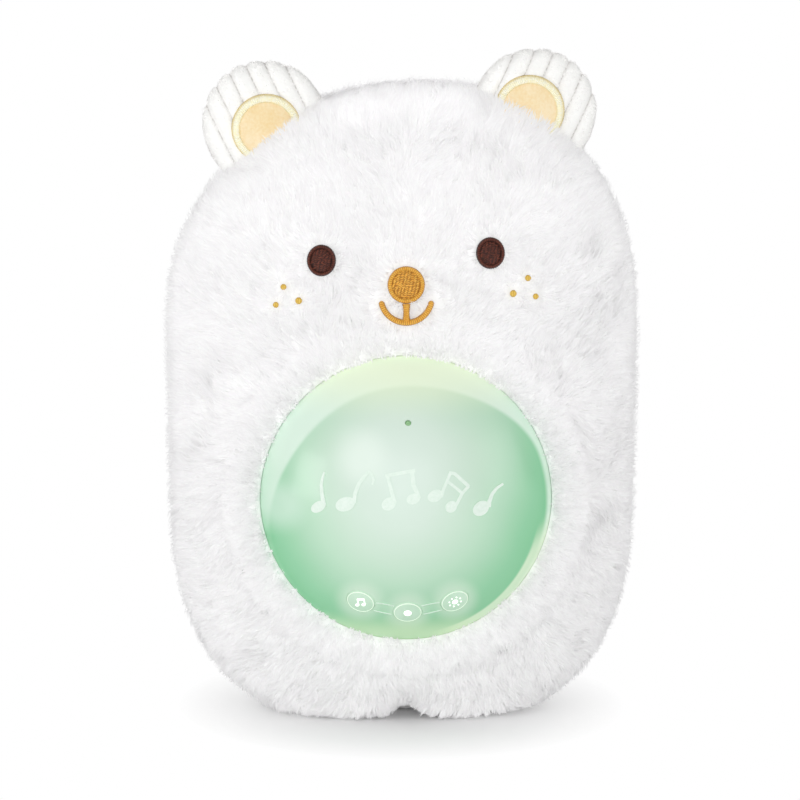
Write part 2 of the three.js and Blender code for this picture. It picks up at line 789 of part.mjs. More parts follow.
const boardPlate = solidOf(rod(mainBoardRadius, mainBoardBack, mainBoardTop, domeSides));
const chip = solidOf(block(
  [boardPartX - chipSize / 2, boardPartY - chipSize / 2, mainBoardBack - chipHeight],
  [boardPartX + chipSize / 2, boardPartY + chipSize / 2, mainBoardTop - boardThickness / 2],
));
const capacitor = solidOf(
  rod(capacitorRadius, mainBoardBack - capacitorHeight, mainBoardTop - boardThickness / 2, screwSides),
  new THREE.Matrix4().makeTranslation(-boardPartX, boardPartY, 0),
);
place(soundModule, 'main_board', boardPlate.add(chip).add(capacitor), boardGreen);
place(soundModule, 'led_board', rod(ledBoardRadius, ledBoardBack, ledBoardTop, smallSides), boardGreen);
for (let i = 0; i < ledCount; i += 1) {
  const angle = 2 * Math.PI * (i + 1 / 2) / ledCount;
  const x = ledCircle * Math.cos(angle);
  const y = ledCircle * Math.sin(angle);
  place(soundModule, `led_${i + 1}`, block(
    [x - ledSize / 2, y - ledSize / 2, ledBoardTop + fitGap],
    [x + ledSize / 2, y + ledSize / 2, ledBoardTop + fitGap + ledHeight],
  ), ledYellow);
}

function diffuserGeometry() {
  const foot = mainBoardTop + fitGap;
  const shoulder = diffuserTop - diffuserRound;
  const bend = (radius, steps) => Array.from({ length: steps + 1 }, (_, i) => {
    const angle = Math.PI / 2 * i / steps;
    return [diffuserRadius - diffuserRound + radius * Math.cos(angle), shoulder + radius * Math.sin(angle)];
  });
  const innerBend = bend(diffuserRound - diffuserWall, cornerSteps).reverse();
  return revolve([
    [0, diffuserTop - diffuserWall],
    ...innerBend,
    [diffuserRadius - diffuserWall, foot],
    [diffuserRadius, foot],
    ...bend(diffuserRound, cornerSteps + 1),
    [0, diffuserTop],
  ], middleSides);
}

place(soundModule, 'light_diffuser', diffuserGeometry(), diffuserWhite);

// Rear housing: a bucket with a battery tower, a speaker grille and board posts

const speakerRadius = 18;
const speakerCentre = 33.5;
const speakerRimHeight = 1.5;
const speakerDepth = 9;
const speakerWall = 1.2;
const magnetRadius = 9;
const magnetHeight = 6;
const speakerCollarWall = 1.5;
const speakerCollarHeight = 3;
const grilleHoleRadius = 1.6;
const grillePitch = 6;
const grilleCounts = [1, 6, 10];
const grilleSides = 6;
const switchPocketHalf = 8;
const switchPocketLeft = bayRight + screwPostWidth;
const switchCentreX = switchPocketLeft + switchPocketWidth / 2;
const switchCentreY = towerCentre;
const knobHalfWidth = 1.2;
const knobHalfHeight = 1.4;
const knobProud = 1;
const switchTravel = 4;
const doorScrewX = bayRight + screwPostWidth / 2;
const doorScrewY = towerCentre;
const doorEarRadius = 3.2;
const doorScrewLength = 7;
const doorRibCount = 3;
const doorRibPitch = 4;
const doorRibWidth = 1.4;
const doorRibLength = 16;
const doorRibHeight = 0.6;
const doorRibLevel = 6;

function bucketGeometry() {
  const corner = Array.from({ length: cornerSteps + 1 }, (_, i) => {
    const angle = Math.PI / 2 * i / cornerSteps;
    return [
      bucketBackRadius - bucketCorner + bucketCorner * Math.sin(angle),
      bucketBack + bucketCorner - bucketCorner * Math.cos(angle),
    ];
  });
  return revolve([
    [0, bucketBack],
    ...corner,
    [bucketMouthRadius, housingFlangeBack],
    [flangeRadius, housingFlangeBack],
    [flangeRadius, housingFlangeFront],
    [bucketMouthRadius - wall, housingFlangeFront],
    [bucketBackRadius - wall, bucketFloor],
    [0, bucketFloor],
  ], domeSides);
}

function doorOutline(gap) {
  const plate = block(
    [bayLeft - doorLip + gap, bayLow - doorLip + gap, towerBack],
    [bayRight + doorLip - gap, bayHigh + doorLip - gap, towerBack + doorThickness + (gap ? 0 : fitGap)],
  );
  const ear = rod(doorEarRadius - gap, towerBack, towerBack + doorThickness + (gap ? 0 : fitGap), smallSides);
  return solidOf(plate).add(solidOf(ear, new THREE.Matrix4().makeTranslation(doorScrewX, doorScrewY, 0)));
}

function housingSolid() {
  const atSpeaker = new THREE.Matrix4().makeTranslation(0, speakerCentre, 0);
  let housing = solidOf(bucketGeometry());
  housing = housing.add(solidOf(block(
    [towerLeft, towerLow, towerBack],
    [-towerLeft, towerHigh, bucketFloor],
  )));
  const collarInner = speakerRadius + fitGap;
  const collar = revolve(ringProfile(
    collarInner,
    collarInner + speakerCollarWall,
    bucketFloor - wall / 2,
    bucketFloor + speakerCollarHeight,
  ), middleSides);
  const bucketInside = solidOf(rod(bucketBackRadius - wall / 2, bucketBack, 0, domeSides));
  housing = housing.add(solidOf(collar, atSpeaker).intersect(bucketInside));
  for (const x of [-postX, postX]) {
    for (const y of [-postY, postY]) {
      const post = rod(postRadius, bucketFloor - wall / 2, mainBoardBack - fitGap, screwSides);
      housing = housing.add(solidOf(post, new THREE.Matrix4().makeTranslation(x, y, 0)));
    }
  }
  housing = housing.subtract(solidOf(block(
    [bayLeft, bayLow, bayFloor + wall],
    [-bayLeft, bayHigh, bucketFloor + fitGap],
  )));
  housing = housing.subtract(solidOf(block(
    [bayLeft, bayLow, towerBack - overrun],
    [bayRight, bayHigh, bayFloor],
  )));
  housing = housing.subtract(solidOf(block(
    [switchPocketLeft, switchCentreY - switchPocketHalf, towerBack + wall],
    [-bayLeft, switchCentreY + switchPocketHalf, bucketFloor],
  )));
  housing = housing.subtract(solidOf(block(
    [
      switchCentreX - knobHalfWidth - fitGap,
      switchCentreY - knobHalfHeight - switchTravel / 2 - fitGap,
      towerBack - overrun,
    ],
    [
      switchCentreX + knobHalfWidth + fitGap,
      switchCentreY + knobHalfHeight + switchTravel / 2 + fitGap,
      towerBack + overrun,
    ],
  )));
  housing = housing.subtract(doorOutline(0));
  housing = housing.subtract(solidOf(
    rod(screwHoleRadius, towerBack, bayMouth + doorScrewLength + fitGap, screwSides),
    new THREE.Matrix4().makeTranslation(doorScrewX, doorScrewY, 0),
  ));
  grilleCounts.forEach((count, ring) => {
    const circle = ring * grillePitch;
    for (let i = 0; i < count; i += 1) {
      const angle = 2 * Math.PI * i / count;
      const x = circle * Math.cos(angle);
      const y = speakerCentre + circle * Math.sin(angle);
      const hole = rod(grilleHoleRadius, bucketBack - wall, bucketFloor + wall, grilleSides);
      housing = housing.subtract(solidOf(hole, new THREE.Matrix4().makeTranslation(x, y, 0)));
    }
  });
  return cutScrewHoles(housing);
}

place(soundModule, 'rear_housing', housingSolid(), housingWhite);

// Speaker, cone towards the grille

const speakerBack = bucketFloor + fitGap;
const atSpeaker = new THREE.Matrix4().makeTranslation(0, speakerCentre, 0);
const basket = revolve([
  [speakerRadius, speakerBack],
  [speakerRadius, speakerBack + speakerRimHeight],
  [magnetRadius + speakerWall, speakerBack + speakerDepth],
  [magnetRadius - speakerWall, speakerBack + speakerDepth],
  [speakerRadius - 2 * speakerWall, speakerBack],
  [speakerRadius, speakerBack],
], middleSides);
place(soundModule, 'speaker_basket', solidOf(basket, atSpeaker), steel);
const coneShare = 0.7;
const cone = revolve([
  [0, speakerBack + speakerDepth * coneShare],
  [magnetRadius / 2, speakerBack + speakerDepth * coneShare],
  [speakerRadius - 3 * speakerWall, speakerBack + speakerWall / 2],
  [speakerRadius - 2 * speakerWall - fitGap, speakerBack],
  [speakerRadius - 4 * speakerWall, speakerBack],
  [magnetRadius / 2, speakerBack + speakerDepth * coneShare - speakerWall],
  [0, speakerBack + speakerDepth * coneShare - speakerWall],
], smallSides);
place(soundModule, 'speaker_cone', solidOf(cone, atSpeaker), paperBlack);
const magnetFoot = speakerBack + speakerDepth + fitGap;
place(soundModule, 'speaker_magnet', solidOf(
  rod(magnetRadius, magnetFoot, magnetFoot + magnetHeight, smallSides),
  atSpeaker,
), steel);

// Batteries, contacts and battery door

const cellLow = bayLow + 2 * fitGap + contactThickness + springHeight;
const cellAxisZ = bayMouth + fitGap + cellRadius;
const upright = new THREE.Matrix4().makeRotationX(-Math.PI / 2);
const cellX = (i) => (bayLeft + bayRight) / 2 + (i - (cellCount - 1) / 2) * cellPitch;
for (let i = 0; i < cellCount; i += 1) {
  const cell = revolve([
    [0, 0],
    [cellRadius, 0],
    [cellRadius, cellLength - cellNubLength],
    [cellNubRadius, cellLength - cellNubLength],
    [cellNubRadius, cellLength],
    [0, cellLength],
  ], smallSides);
  const frame = upright.clone().setPosition(cellX(i), cellLow, cellAxisZ);
  place(soundModule, `battery_cell_${i + 1}`, solidOf(cell, frame), cellBlue);
}

const contactHalfHeight = 5;
const contactMargin = 1;
function contactPlate(low) {
  return solidOf(block(
    [bayLeft + contactMargin, low, cellAxisZ - contactHalfHeight],
    [bayRight - contactMargin, low + contactThickness, cellAxisZ + contactHalfHeight],
  ));
}
place(soundModule, 'contact_plus', contactPlate(bayHigh - fitGap - contactThickness), steel);
const springBaseRadius = 4.5;
const springTipRadius = 2.5;
let contactMinus = contactPlate(bayLow + fitGap);
for (let i = 0; i < cellCount; i += 1) {
  const spring = revolve([
    [0, -contactThickness / 2],
    [springBaseRadius, -contactThickness / 2],
    [springTipRadius, springHeight],
    [0, springHeight],
  ], screwSides);
  const frame = upright.clone().setPosition(cellX(i), bayLow + fitGap + contactThickness, cellAxisZ);
  contactMinus = contactMinus.add(solidOf(spring, frame));
}
place(soundModule, 'contact_minus', contactMinus, steel);

function doorSolid() {
  let door = doorOutline(fitGap).subtract(solidOf(
    rod(screwHoleRadius, towerBack - wall, bayMouth, screwSides),
    new THREE.Matrix4().makeTranslation(doorScrewX, doorScrewY, 0),
  ));
  const middle = (bayLeft + bayRight) / 2;
  for (let i = 0; i < doorRibCount; i += 1) {
    const low = bayHigh - doorRibLevel - i * doorRibPitch;
    door = door.add(solidOf(block(
      [middle - doorRibLength / 2, low - doorRibWidth, towerBack - doorRibHeight],
      [middle + doorRibLength / 2, low, towerBack + doorThickness / 2],
    )));
  }
  return door;
}
place(soundModule, 'battery_door', doorSolid(), housingWhite);

function screwGeometry(headBack, tip) {
  return revolve([
    [0, headBack],
    [screwHeadRadius, headBack],
    [screwHeadRadius, headBack + screwHeadHeight],
    [screwRadius, headBack + screwHeadHeight],
    [screwRadius, tip],
    [0, tip],
  ], screwSides);
}

const doorScrewHead = towerBack - fitGap - screwHeadHeight;
place(soundModule, 'battery_door_screw', solidOf(
  screwGeometry(doorScrewHead, bayMouth + doorScrewLength),
  new THREE.Matrix4().makeTranslation(doorScrewX, doorScrewY, 0),
), steel);

screwAngles.forEach((angle, i) => {
  const head = housingFlangeBack - fitGap - screwHeadHeight;
  place(soundModule, `housing_screw_${i + 1}`, solidOf(
    screwGeometry(head, ringFront - fitGap),
    screwPlace(angle),
  ), steel);
});

// Power switch beside the battery door

const switchBodyHalfWidth = 3;
const switchBodyHalfHeight = 6.5;
const switchBodyDepth = 5;
const sliderHalfWidth = 1.5;
const sliderHalfHeight = 2.2;
const sliderDepth = 2.9;
const switchBodyBack = towerBack + wall + fitGap;
const sliderFront = switchBodyBack + sliderDepth;
const sliderBack = switchBodyBack + fitGap;
const sliderRest = switchCentreY - switchTravel / 2;

const switchBodyFront = switchBodyBack + switchBodyDepth;
const switchBody = solidOf(block(
  [switchCentreX - switchBodyHalfWidth, switchCentreY - switchBodyHalfHeight, switchBodyBack],
  [switchCentreX + switchBodyHalfWidth, switchCentreY + switchBodyHalfHeight, switchBodyFront],
)).subtract(solidOf(block(
  [
    switchCentreX - sliderHalfWidth - fitGap,
    switchCentreY - sliderHalfHeight - switchTravel / 2 - fitGap,
    switchBodyBack - wall,
  ],
  [
    switchCentreX + sliderHalfWidth + fitGap,
    switchCentreY + sliderHalfHeight + switchTravel / 2 + fitGap,
    sliderFront + fitGap,
  ],
)));
place(soundModule, 'power_switch_body', switchBody, switchBlack);

const slider = solidOf(block(
  [switchCentreX - sliderHalfWidth, sliderRest - sliderHalfHeight, sliderBack],
  [switchCentreX + sliderHalfWidth, sliderRest + sliderHalfHeight, sliderFront],
)).add(solidOf(block(
  [switchCentreX - knobHalfWidth, sliderRest - knobHalfHeight, towerBack - knobProud],
  [switchCentreX + knobHalfWidth, sliderRest + knobHalfHeight, sliderFront],
)));
place(soundModule, 'power_switch_slider', slider, ringWhite);

export default toy;
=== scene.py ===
# %% [markdown]
# # A plush bear with a glowing dome
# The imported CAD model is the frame: every solid is in its place, in metres.
# This lesson dresses it as the real toy looks. The soft skin is swollen by a
# cloth simulation, the pile is grown strand by strand, the ears are corduroy,
# the face is stitched, and the dome is a milky lens with lit buttons.

# %% Load the frame
import json
import math

import bmesh
import bpy
import numpy as np
from mathutils import Matrix, Vector, noise

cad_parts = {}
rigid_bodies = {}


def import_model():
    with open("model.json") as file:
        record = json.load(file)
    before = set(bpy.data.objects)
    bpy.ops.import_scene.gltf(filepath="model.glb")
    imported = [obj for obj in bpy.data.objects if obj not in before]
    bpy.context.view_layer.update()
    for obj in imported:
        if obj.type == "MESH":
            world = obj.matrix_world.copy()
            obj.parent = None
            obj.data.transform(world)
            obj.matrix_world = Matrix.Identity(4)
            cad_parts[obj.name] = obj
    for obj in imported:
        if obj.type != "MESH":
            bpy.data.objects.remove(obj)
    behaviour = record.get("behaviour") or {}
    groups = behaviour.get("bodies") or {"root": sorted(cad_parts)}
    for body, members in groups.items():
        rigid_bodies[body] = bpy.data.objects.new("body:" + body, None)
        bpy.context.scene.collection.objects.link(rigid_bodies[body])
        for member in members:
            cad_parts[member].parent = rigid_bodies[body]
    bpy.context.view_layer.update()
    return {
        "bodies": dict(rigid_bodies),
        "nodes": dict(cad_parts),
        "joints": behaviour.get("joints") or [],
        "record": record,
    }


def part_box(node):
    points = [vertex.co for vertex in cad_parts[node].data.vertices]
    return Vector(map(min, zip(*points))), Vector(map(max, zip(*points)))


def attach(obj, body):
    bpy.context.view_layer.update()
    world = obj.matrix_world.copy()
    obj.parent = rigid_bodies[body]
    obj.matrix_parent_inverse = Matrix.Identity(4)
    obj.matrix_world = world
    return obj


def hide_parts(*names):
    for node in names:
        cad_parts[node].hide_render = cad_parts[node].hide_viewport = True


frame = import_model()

scene = bpy.context.scene
nodes = frame["nodes"]

# %% [markdown]
# Sizes below are in millimetres, as a pattern cutter would note them, and one
# factor takes them to metres. Colours are sRGB hex values, as a colour chart
# gives them, and one function turns them to the linear values that the
# renderer reckons in.

# %% Units, colours and node helper
MM = 0.001
UP = Vector((0, 0, 1))


def srgb(code):
    parts = [int(code[i:i + 2], 16) / 255 for i in (1, 3, 5)]
    linear = [c / 12.92 if c <= 0.04045 else ((c + 0.055) / 1.055) ** 2.4 for c in parts]
    return (*linear, 1.0)


def add_node(material, kind, inputs=None, stops=None, **settings):
    tree = material.node_tree
    node = tree.nodes.new("ShaderNode" + kind)
    for key, value in settings.items():
        setattr(node, key, value)
    for socket, value in (inputs or {}).items():
        if isinstance(value, bpy.types.NodeSocket):
            tree.links.new(value, node.inputs[socket])
        else:
            node.inputs[socket].default_value = value
    if stops:
        points = node.color_ramp.elements
        while len(points) < len(stops):
            points.new(0.5)
        for point, (place, colour) in zip(points, stops):
            point.position = place
            point.color = srgb(colour)
    return node


def start_material(name, colour, **sockets):
    material = bpy.data.materials.new(name)
    material.use_nodes = True
    shader = material.node_tree.nodes["Principled BSDF"]
    shader.inputs["Base Color"].default_value = srgb(colour)
    for key, value in sockets.items():
        value = srgb(value) if isinstance(value, str) else value
        shader.inputs[key.replace("_", " ").title()].default_value = value
    return material


def mottled(material, grain, detail, stops):
    """Clouds of a size in millimetres, and the colours that they run through."""
    place = add_node(material, "TexCoord").outputs["Object"]
    noisy = {"Vector": place, "Scale": 1 / (grain * MM), "Detail": detail}
    clouds = add_node(material, "TexNoise", noisy).outputs[0]
    return clouds, add_node(material, "ValToRGB", {0: clouds}, stops=stops).outputs[0]


def dress(material, tone, relief=None, strength=0.3, depth=0.3):
    """Colours a material with one pattern and dents it, in millimetres, with another."""
    tree = material.node_tree
    shader = tree.nodes["Principled BSDF"]
    tree.links.new(tone, shader.inputs["Base Color"])
    if relief is not None:
        dents = add_node(material, "Bump", {
            "Height": relief, "Strength": strength, "Distance": depth * MM,
        })
        tree.links.new(dents.outputs[0], shader.inputs["Normal"])


# %% [markdown]
# Every piece is made the same way: a bmesh holds its shape in place, and these
# functions turn it into an object at the origin, give it its material, say
# which CAD body carries it, and hide the CAD solids it stands for.

# %% Piece helpers
def new_object(name, data):
    obj = bpy.data.objects.new(name, data)
    scene.collection.objects.link(obj)
    return obj


def mesh_of(name, form):
    mesh = bpy.data.meshes.new(name)
    form.to_mesh(mesh)
    form.free()
    return mesh


def finish_piece(obj, material, body, stands_for=(), slot=None, smooth=True, fill=None):
    mesh = obj.data
    for one in material if isinstance(material, list) else [material]:
        mesh.materials.append(one)
    mesh.polygons.foreach_set("use_smooth", [smooth] * len(mesh.polygons))
    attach(obj, body)
    if stands_for:
        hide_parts(*stands_for)
    print(obj.name, len(mesh.polygons), "faces")
    return obj


def add_piece(name, shape, *setup, **more):
    mesh = mesh_of(name, shape) if isinstance(shape, bmesh.types.BMesh) else shape
    return finish_piece(new_object(name, mesh), *setup, **more)


# %% [markdown]
# The camera comes first. The photo was taken from four metres or so with a
# long lens, a little above the belly, and the toy is turned two degrees.

# %% Camera
view_turn, view_height = math.radians(-2), math.radians(10)
view_distance = 4.0
view_width = 322 * MM
target = Vector((-0.6, 0, 124.8)) * MM
sight = Vector((
    math.sin(view_turn) * math.cos(view_height),
    -math.cos(view_turn) * math.cos(view_height),
    math.sin(view_height),
))
camera_data = bpy.data.cameras.new("camera")
camera = new_object("camera", camera_data)
camera.location = target + sight * view_distance
camera.rotation_euler = (-sight).to_track_quat("-Z", "Y").to_euler()
camera_data.sensor_width = 36
camera_data.lens = camera_data.sensor_width * view_distance / view_width
camera_data.clip_end = 50
scene.camera = camera
scene.view_settings.view_transform = "Standard"
print("lens", round(camera_data.lens, 1))

# %% [markdown]
# Soft studio light: a pale room and a wide lamp straight in front, which does
# most of the work and which nothing glossy reflects. Weak lamps at the sides,
# above and at the upper left give the pile its direction, and one behind the
# toy lights its back. Together they light a white card to about white.

# %% Room and lamps
room = bpy.data.worlds.new("pale_room")
scene.world = room
room.use_nodes = True
background = room.node_tree.nodes["Background"]
background.inputs["Color"].default_value = srgb("#FFFFFF")
background.inputs["Strength"].default_value = 0.42

# Each lamp's place and size in metres, and its power in watts
lamps = {
    "front_lamp": ((0.1, -2.4, 0.42), (1.6, 1.6), 30.6),
    "key_lamp": ((-0.95, -1.35, 1.0), (1.1, 1.1), 2.1),
    "right_lamp": ((1.7, -0.5, 0.5), (1.0, 1.2), 3.4),
    "left_lamp": ((-1.65, -0.6, 0.2), (0.7, 1.1), 7.0),
    "top_lamp": ((0.0, -0.1, 1.8), (1.4, 1.4), 0.7),
    "back_lamp": ((0.0, 2.3, 0.2), (1.6, 1.6), 38.0),
}
for name, (place, size, power) in lamps.items():
    data = bpy.data.lights.new(name, "AREA")
    data.shape = "RECTANGLE"
    data.size, data.size_y = size
    data.energy = power
    lamp = new_object(name, data)
    lamp.location = place
    lamp.rotation_euler = (Vector(place) - target).to_track_quat("Z", "Y").to_euler()
    lamp.visible_glossy = name != "front_lamp"

# %% [markdown]
# The floor is plain paper. To the camera it is white by itself, so the
# background is white, but near the toy real diffuse light keeps the shadow,
# which fades out over an oval a little wider than the toy.

# %% Floor
paper = start_material("white_paper_floor", "#F4F4F4", Roughness=0.9)
shadow_oval = (90 * MM, 108 * MM)
shadow_core, shadow_glow = 0.34, 0.02
rays = add_node(paper, "LightPath").outputs
seen = rays["Is Camera Ray"]
for kind in ("Is Glossy Ray", "Is Transmission Ray"):
    seen = add_node(paper, "Math", {0: seen, 1: rays[kind]}, operation="MAXIMUM").outputs[0]
oval = add_node(paper, "Mapping", {
    "Vector": add_node(paper, "TexCoord").outputs["Object"],
    "Scale": (1 / shadow_oval[0], 1 / shadow_oval[1], 1),
})
away = add_node(paper, "VectorMath", {0: oval.outputs[0]}, operation="LENGTH")
plain = add_node(paper, "MapRange", {
    "Value": away.outputs["Value"], "From Min": shadow_core, "From Max": 1.0,
    "To Min": shadow_glow, "To Max": 1.0,
})
share = add_node(paper, "Math", {0: seen, 1: plain.outputs[0]}, operation="MULTIPLY")
glow = add_node(paper, "Emission", {"Color": srgb("#FFFFFF"), "Strength": 1.0})
paper_nodes = paper.node_tree.nodes
both = add_node(paper, "MixShader", {
    0: share.outputs[0], 1: paper_nodes["Principled BSDF"].outputs[0], 2: glow.outputs[0],
})
paper.node_tree.links.new(both.outputs[0], paper_nodes["Material Output"].inputs["Surface"])

floor_form = bmesh.new()
bmesh.ops.create_circle(floor_form, cap_ends=True, segments=96, radius=12)
floor = new_object("floor", mesh_of("floor", floor_form))
floor.data.materials.append(paper)

# %% [markdown]
# ## The sewn skin
# The skin is a fur fabric: a knitted backing sewn into a bag and filled with
# fibre. A padded form like this is hard to draw by hand, because it bulges
# evenly everywhere. So a copy of the CAD cover gets even faces, and a cloth
# simulation blows it up a little. The backing then lies a few millimetres
# inside the CAD surface, because the CAD surface is where the pile ends.

# %% Copies of soft solids
cloth_steps = 20


def copy_of(name):
    form = bmesh.new()
    form.from_mesh(nodes[name].data)
    bmesh.ops.remove_doubles(form, verts=form.verts, dist=0.01 * MM)
    return form


def apply_modifiers(obj):
    evaluated = obj.evaluated_get(bpy.context.evaluated_depsgraph_get())
    mesh = bpy.data.meshes.new_from_object(evaluated)
    obj.modifiers.clear()
    obj.data = mesh


def loose_object(name, form):
    return new_object(name, mesh_of(name, form))


def even_faces(obj, voxel):
    remesh = obj.modifiers.new("even_faces", "REMESH")
    remesh.mode = "VOXEL"
    remesh.voxel_size = voxel * MM
    apply_modifiers(obj)


def vectors_of(items, kind):
    values = np.empty(len(items) * 3)
    items.foreach_get(kind, values)
    return values.reshape(-1, 3)


def points_of(mesh):
    return vectors_of(mesh.vertices, "co")


def normals_of(mesh):
    return vectors_of(mesh.vertex_normals, "vector")


def set_points(mesh, points):
    mesh.vertices.foreach_set("co", points.ravel())
    mesh.update()


def swell(obj, pressure, cap, hold):
    """Blows a padded form up, by no more than cap millimetres times what hold gives."""
    start = points_of(obj.data)
    cloth = obj.modifiers.new("swelling", "CLOTH")
    cloth.settings.use_pressure = True
    cloth.settings.uniform_pressure_force = pressure
    cloth.settings.effector_weights.gravity = 0
    for step in range(cloth_steps):
        scene.frame_set(step + 1)
    apply_modifiers(obj)
    moved = points_of(obj.data) - start
    length = np.linalg.norm(moved, axis=1, keepdims=True)
    allowed = cap * MM * hold(start)[:, None]
    moved *= np.minimum(1, allowed / np.maximum(length, 1e-9))
    set_points(obj.data, start + moved)
    scene.frame_set(1)
    most = float(np.max(np.linalg.norm(moved, axis=1))) / MM
    print(obj.name, "swelled by up to", round(most, 2), "mm")


# %% [markdown]
# The dome, the flap and the stitched patches hold the skin where they sit, so
# their places are read from the CAD boxes and used for the skin and the pile.

# %% Places that hold the skin
def centre_of(name):
    low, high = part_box(name)
    return (Vector(low) + Vector(high)) / 2


def half_of(name):
    low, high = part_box(name)
    return (Vector(high) - Vector(low)) / 2


dome_centre = centre_of("dome_lens")
dome_rim = 58
rim_radius = dome_rim * MM
rim_plane = -51 * MM
freckles = [f"{side}_cheek_dot_{i}" for side in ("left", "right") for i in (1, 2, 3)]
smile_radius, smile_width, smile_half_turn = 10.1, 2.4, math.radians(82)
smile_middle = Vector((0, 0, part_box("mouth")[0][2] + (smile_radius + smile_width / 2) * MM))


def stitched_discs():
    """Every stitched place as discs seen from the front: x, z and radius."""
    discs = []
    for name in ["left_eye", "right_eye", "nose"] + freckles:
        centre, half = centre_of(name), half_of(name)
        discs.append((centre.x, centre.z, (half.x + half.z) / 2))
    for i in range(25):  # along the smile
        turn = smile_half_turn * (i / 12 - 1)
        x, z = smile_radius * math.sin(turn) * MM, smile_radius * math.cos(turn) * MM
        discs.append((x, smile_middle.z - z, smile_width / 2 * MM))
    for i in range(5):  # up the line to the nose
        z = smile_middle.z - (smile_radius - 1.8 * i) * MM
        discs.append((0, z, smile_width / 2 * MM))
    return np.array(discs)


patches = stitched_discs()
flap_low, flap_high = (Vector(corner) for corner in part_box("access_flap"))
print("dome centre", [round(c / MM, 1) for c in dome_centre])


def smooth_step(t):
    t = np.clip(t, 0, 1)
    return t * t * (3 - 2 * t)


def from_dome(points):
    return np.hypot(points[:, 0] - dome_centre.x, points[:, 2] - dome_centre.z)


def from_patches(points):
    """Millimetres to the edge of the nearest stitched place, and the way from its middle."""
    across = points[:, None, 0] - patches[None, :, 0]
    along = points[:, None, 2] - patches[None, :, 1]
    away = (np.hypot(across, along) - patches[None, :, 2]) / MM
    nearest = np.argmin(away, axis=1)
    rows = np.arange(len(points))
    way = np.stack([across[rows, nearest], np.zeros(len(points)), along[rows, nearest]], axis=1)
    return np.where(points[:, 1] < 0, away[rows, nearest], 99.0), way


def outwardness(points, normals):
    """How far a normal points away from the body's core: 1 outside, -1 on the inner face."""
    core = np.clip(points, [-40 * MM, 0, 60 * MM], [40 * MM, 0, 185 * MM])
    away = points - core
    away /= np.linalg.norm(away, axis=1, keepdims=True)
    return np.sum(away * normals, axis=1)


# %% Draw the backing in under the pile
pile_depth, rim_depth, stitch_depth, foot_depth = 3.4, 1.2, 0.5, 7
valley_radius, valley_depth, crease_depth = 80, 2.3, 3.5


def foot_crease(points):
    """The short seam that pulls the foot of the front up in the middle."""
    across = np.exp(-((points[:, 0] / MM - 1.5) / 5.5) ** 2)
    return across * (1 - smooth_step(points[:, 2] / MM / 15)) * (points[:, 1] < -15 * MM)


def backing_depth(points):
    """Less at the dome, at the stitches and under the base, more in the valley round the dome."""
    depth = np.full(len(points), pile_depth)
    ring = from_dome(points) / MM
    near_dome = rim_depth + (pile_depth - rim_depth) * smooth_step((ring - 64) / 12)
    near_dome += valley_depth * np.exp(-((ring - valley_radius) / 5) ** 2)
    depth = np.where(points[:, 1] < 0, near_dome, depth)
    apart = from_patches(points)[0]
    near_patch = stitch_depth + smooth_step((apart - 0.5) / 6) * (pile_depth - stitch_depth)
    depth = np.minimum(depth, near_patch)
    near_base = 1 + smooth_step(points[:, 2] / MM / 12) * (foot_depth - 1)
    return np.minimum(depth, near_base) + crease_depth * foot_crease(points)


def draw_in(obj, depth_of):
    points, normals = points_of(obj.data), normals_of(obj.data)
    share = smooth_step((outwardness(points, normals) - 0.1) / 0.4)
    set_points(obj.data, points - normals * (depth_of(points) * share * MM)[:, None])


def skin_hold(points):
    """The skin can't swell at the dome, at the stitches or under the base."""
    near = smooth_step((from_dome(points) / MM - 66) / 20)
    near = np.where(points[:, 1] < 0, near, 1)
    return near * smooth_step(points[:, 2] / MM / 20) * smooth_step(from_patches(points)[0] / 10)


skin = loose_object("fur_backing", copy_of("plush_cover"))
even_faces(skin, 3.5)
form = bmesh.new()
form.from_mesh(skin.data)
for _ in range(6):
    bmesh.ops.smooth_vert(
        form, verts=form.verts, factor=0.5, use_axis_x=True, use_axis_y=True, use_axis_z=True,
    )
form.to_mesh(skin.data)
form.free()
swell(skin, 4.0, 2.0, skin_hold)
draw_in(skin, backing_depth)
print("backing", len(skin.data.vertices), "points")

# %% [markdown]
# Round the dome the fabric is rolled over a ring and clamped. The rolled edge
# is a turned shape of its own, so that it is clean where it meets the dome.
# Below the dome the toy sits on its padding, which pushes the edge up a little
# way on to the plastic.

# %% Frame of the sound module and turning
dome_rise, lens_wall = 33.5, 2.5
sphere_radius = (dome_rim ** 2 + dome_rise ** 2) / (2 * dome_rise)
sphere_centre = dome_rise - sphere_radius
module_place = Matrix.Translation(Vector((0, -51, 93.5)) * MM)
module_frame = module_place @ Matrix.Rotation(math.pi / 2, 4, "X")


def turned(profile, steps):
    """A closed turned shape about local Z, from [radius, height] pairs in millimetres."""
    form = bmesh.new()
    line = [form.verts.new(Vector((radius, 0, height)) * MM) for radius, height in profile]
    edges = [form.edges.new(pair) for pair in zip(line, line[1:])]
    bmesh.ops.spin(
        form, geom=line + edges, cent=(0, 0, 0), axis=(0, 0, 1),
        angle=2 * math.pi, steps=steps, use_merge=True, use_duplicate=False,
    )
    bmesh.ops.remove_doubles(form, verts=form.verts, dist=0.001 * MM)
    bmesh.ops.recalc_face_normals(form, faces=form.faces)
    return form


def place_form(form, matrix):
    bmesh.ops.transform(form, verts=form.verts, matrix=matrix)
    return form


edge_inner, edge_foot = 58.15, -2.2
edge_profile = [
    (edge_inner, edge_foot), (edge_inner, -0.3), (58.5, 0.4), (59.4, 0.9), (61.2, 1.1), (63.5, 1.0),
    (66, 0.6), (68.5, -0.3), (70, -1.6), (66, edge_foot), (edge_inner, edge_foot),
]
ride_in, ride_out = 2.2, 3.3


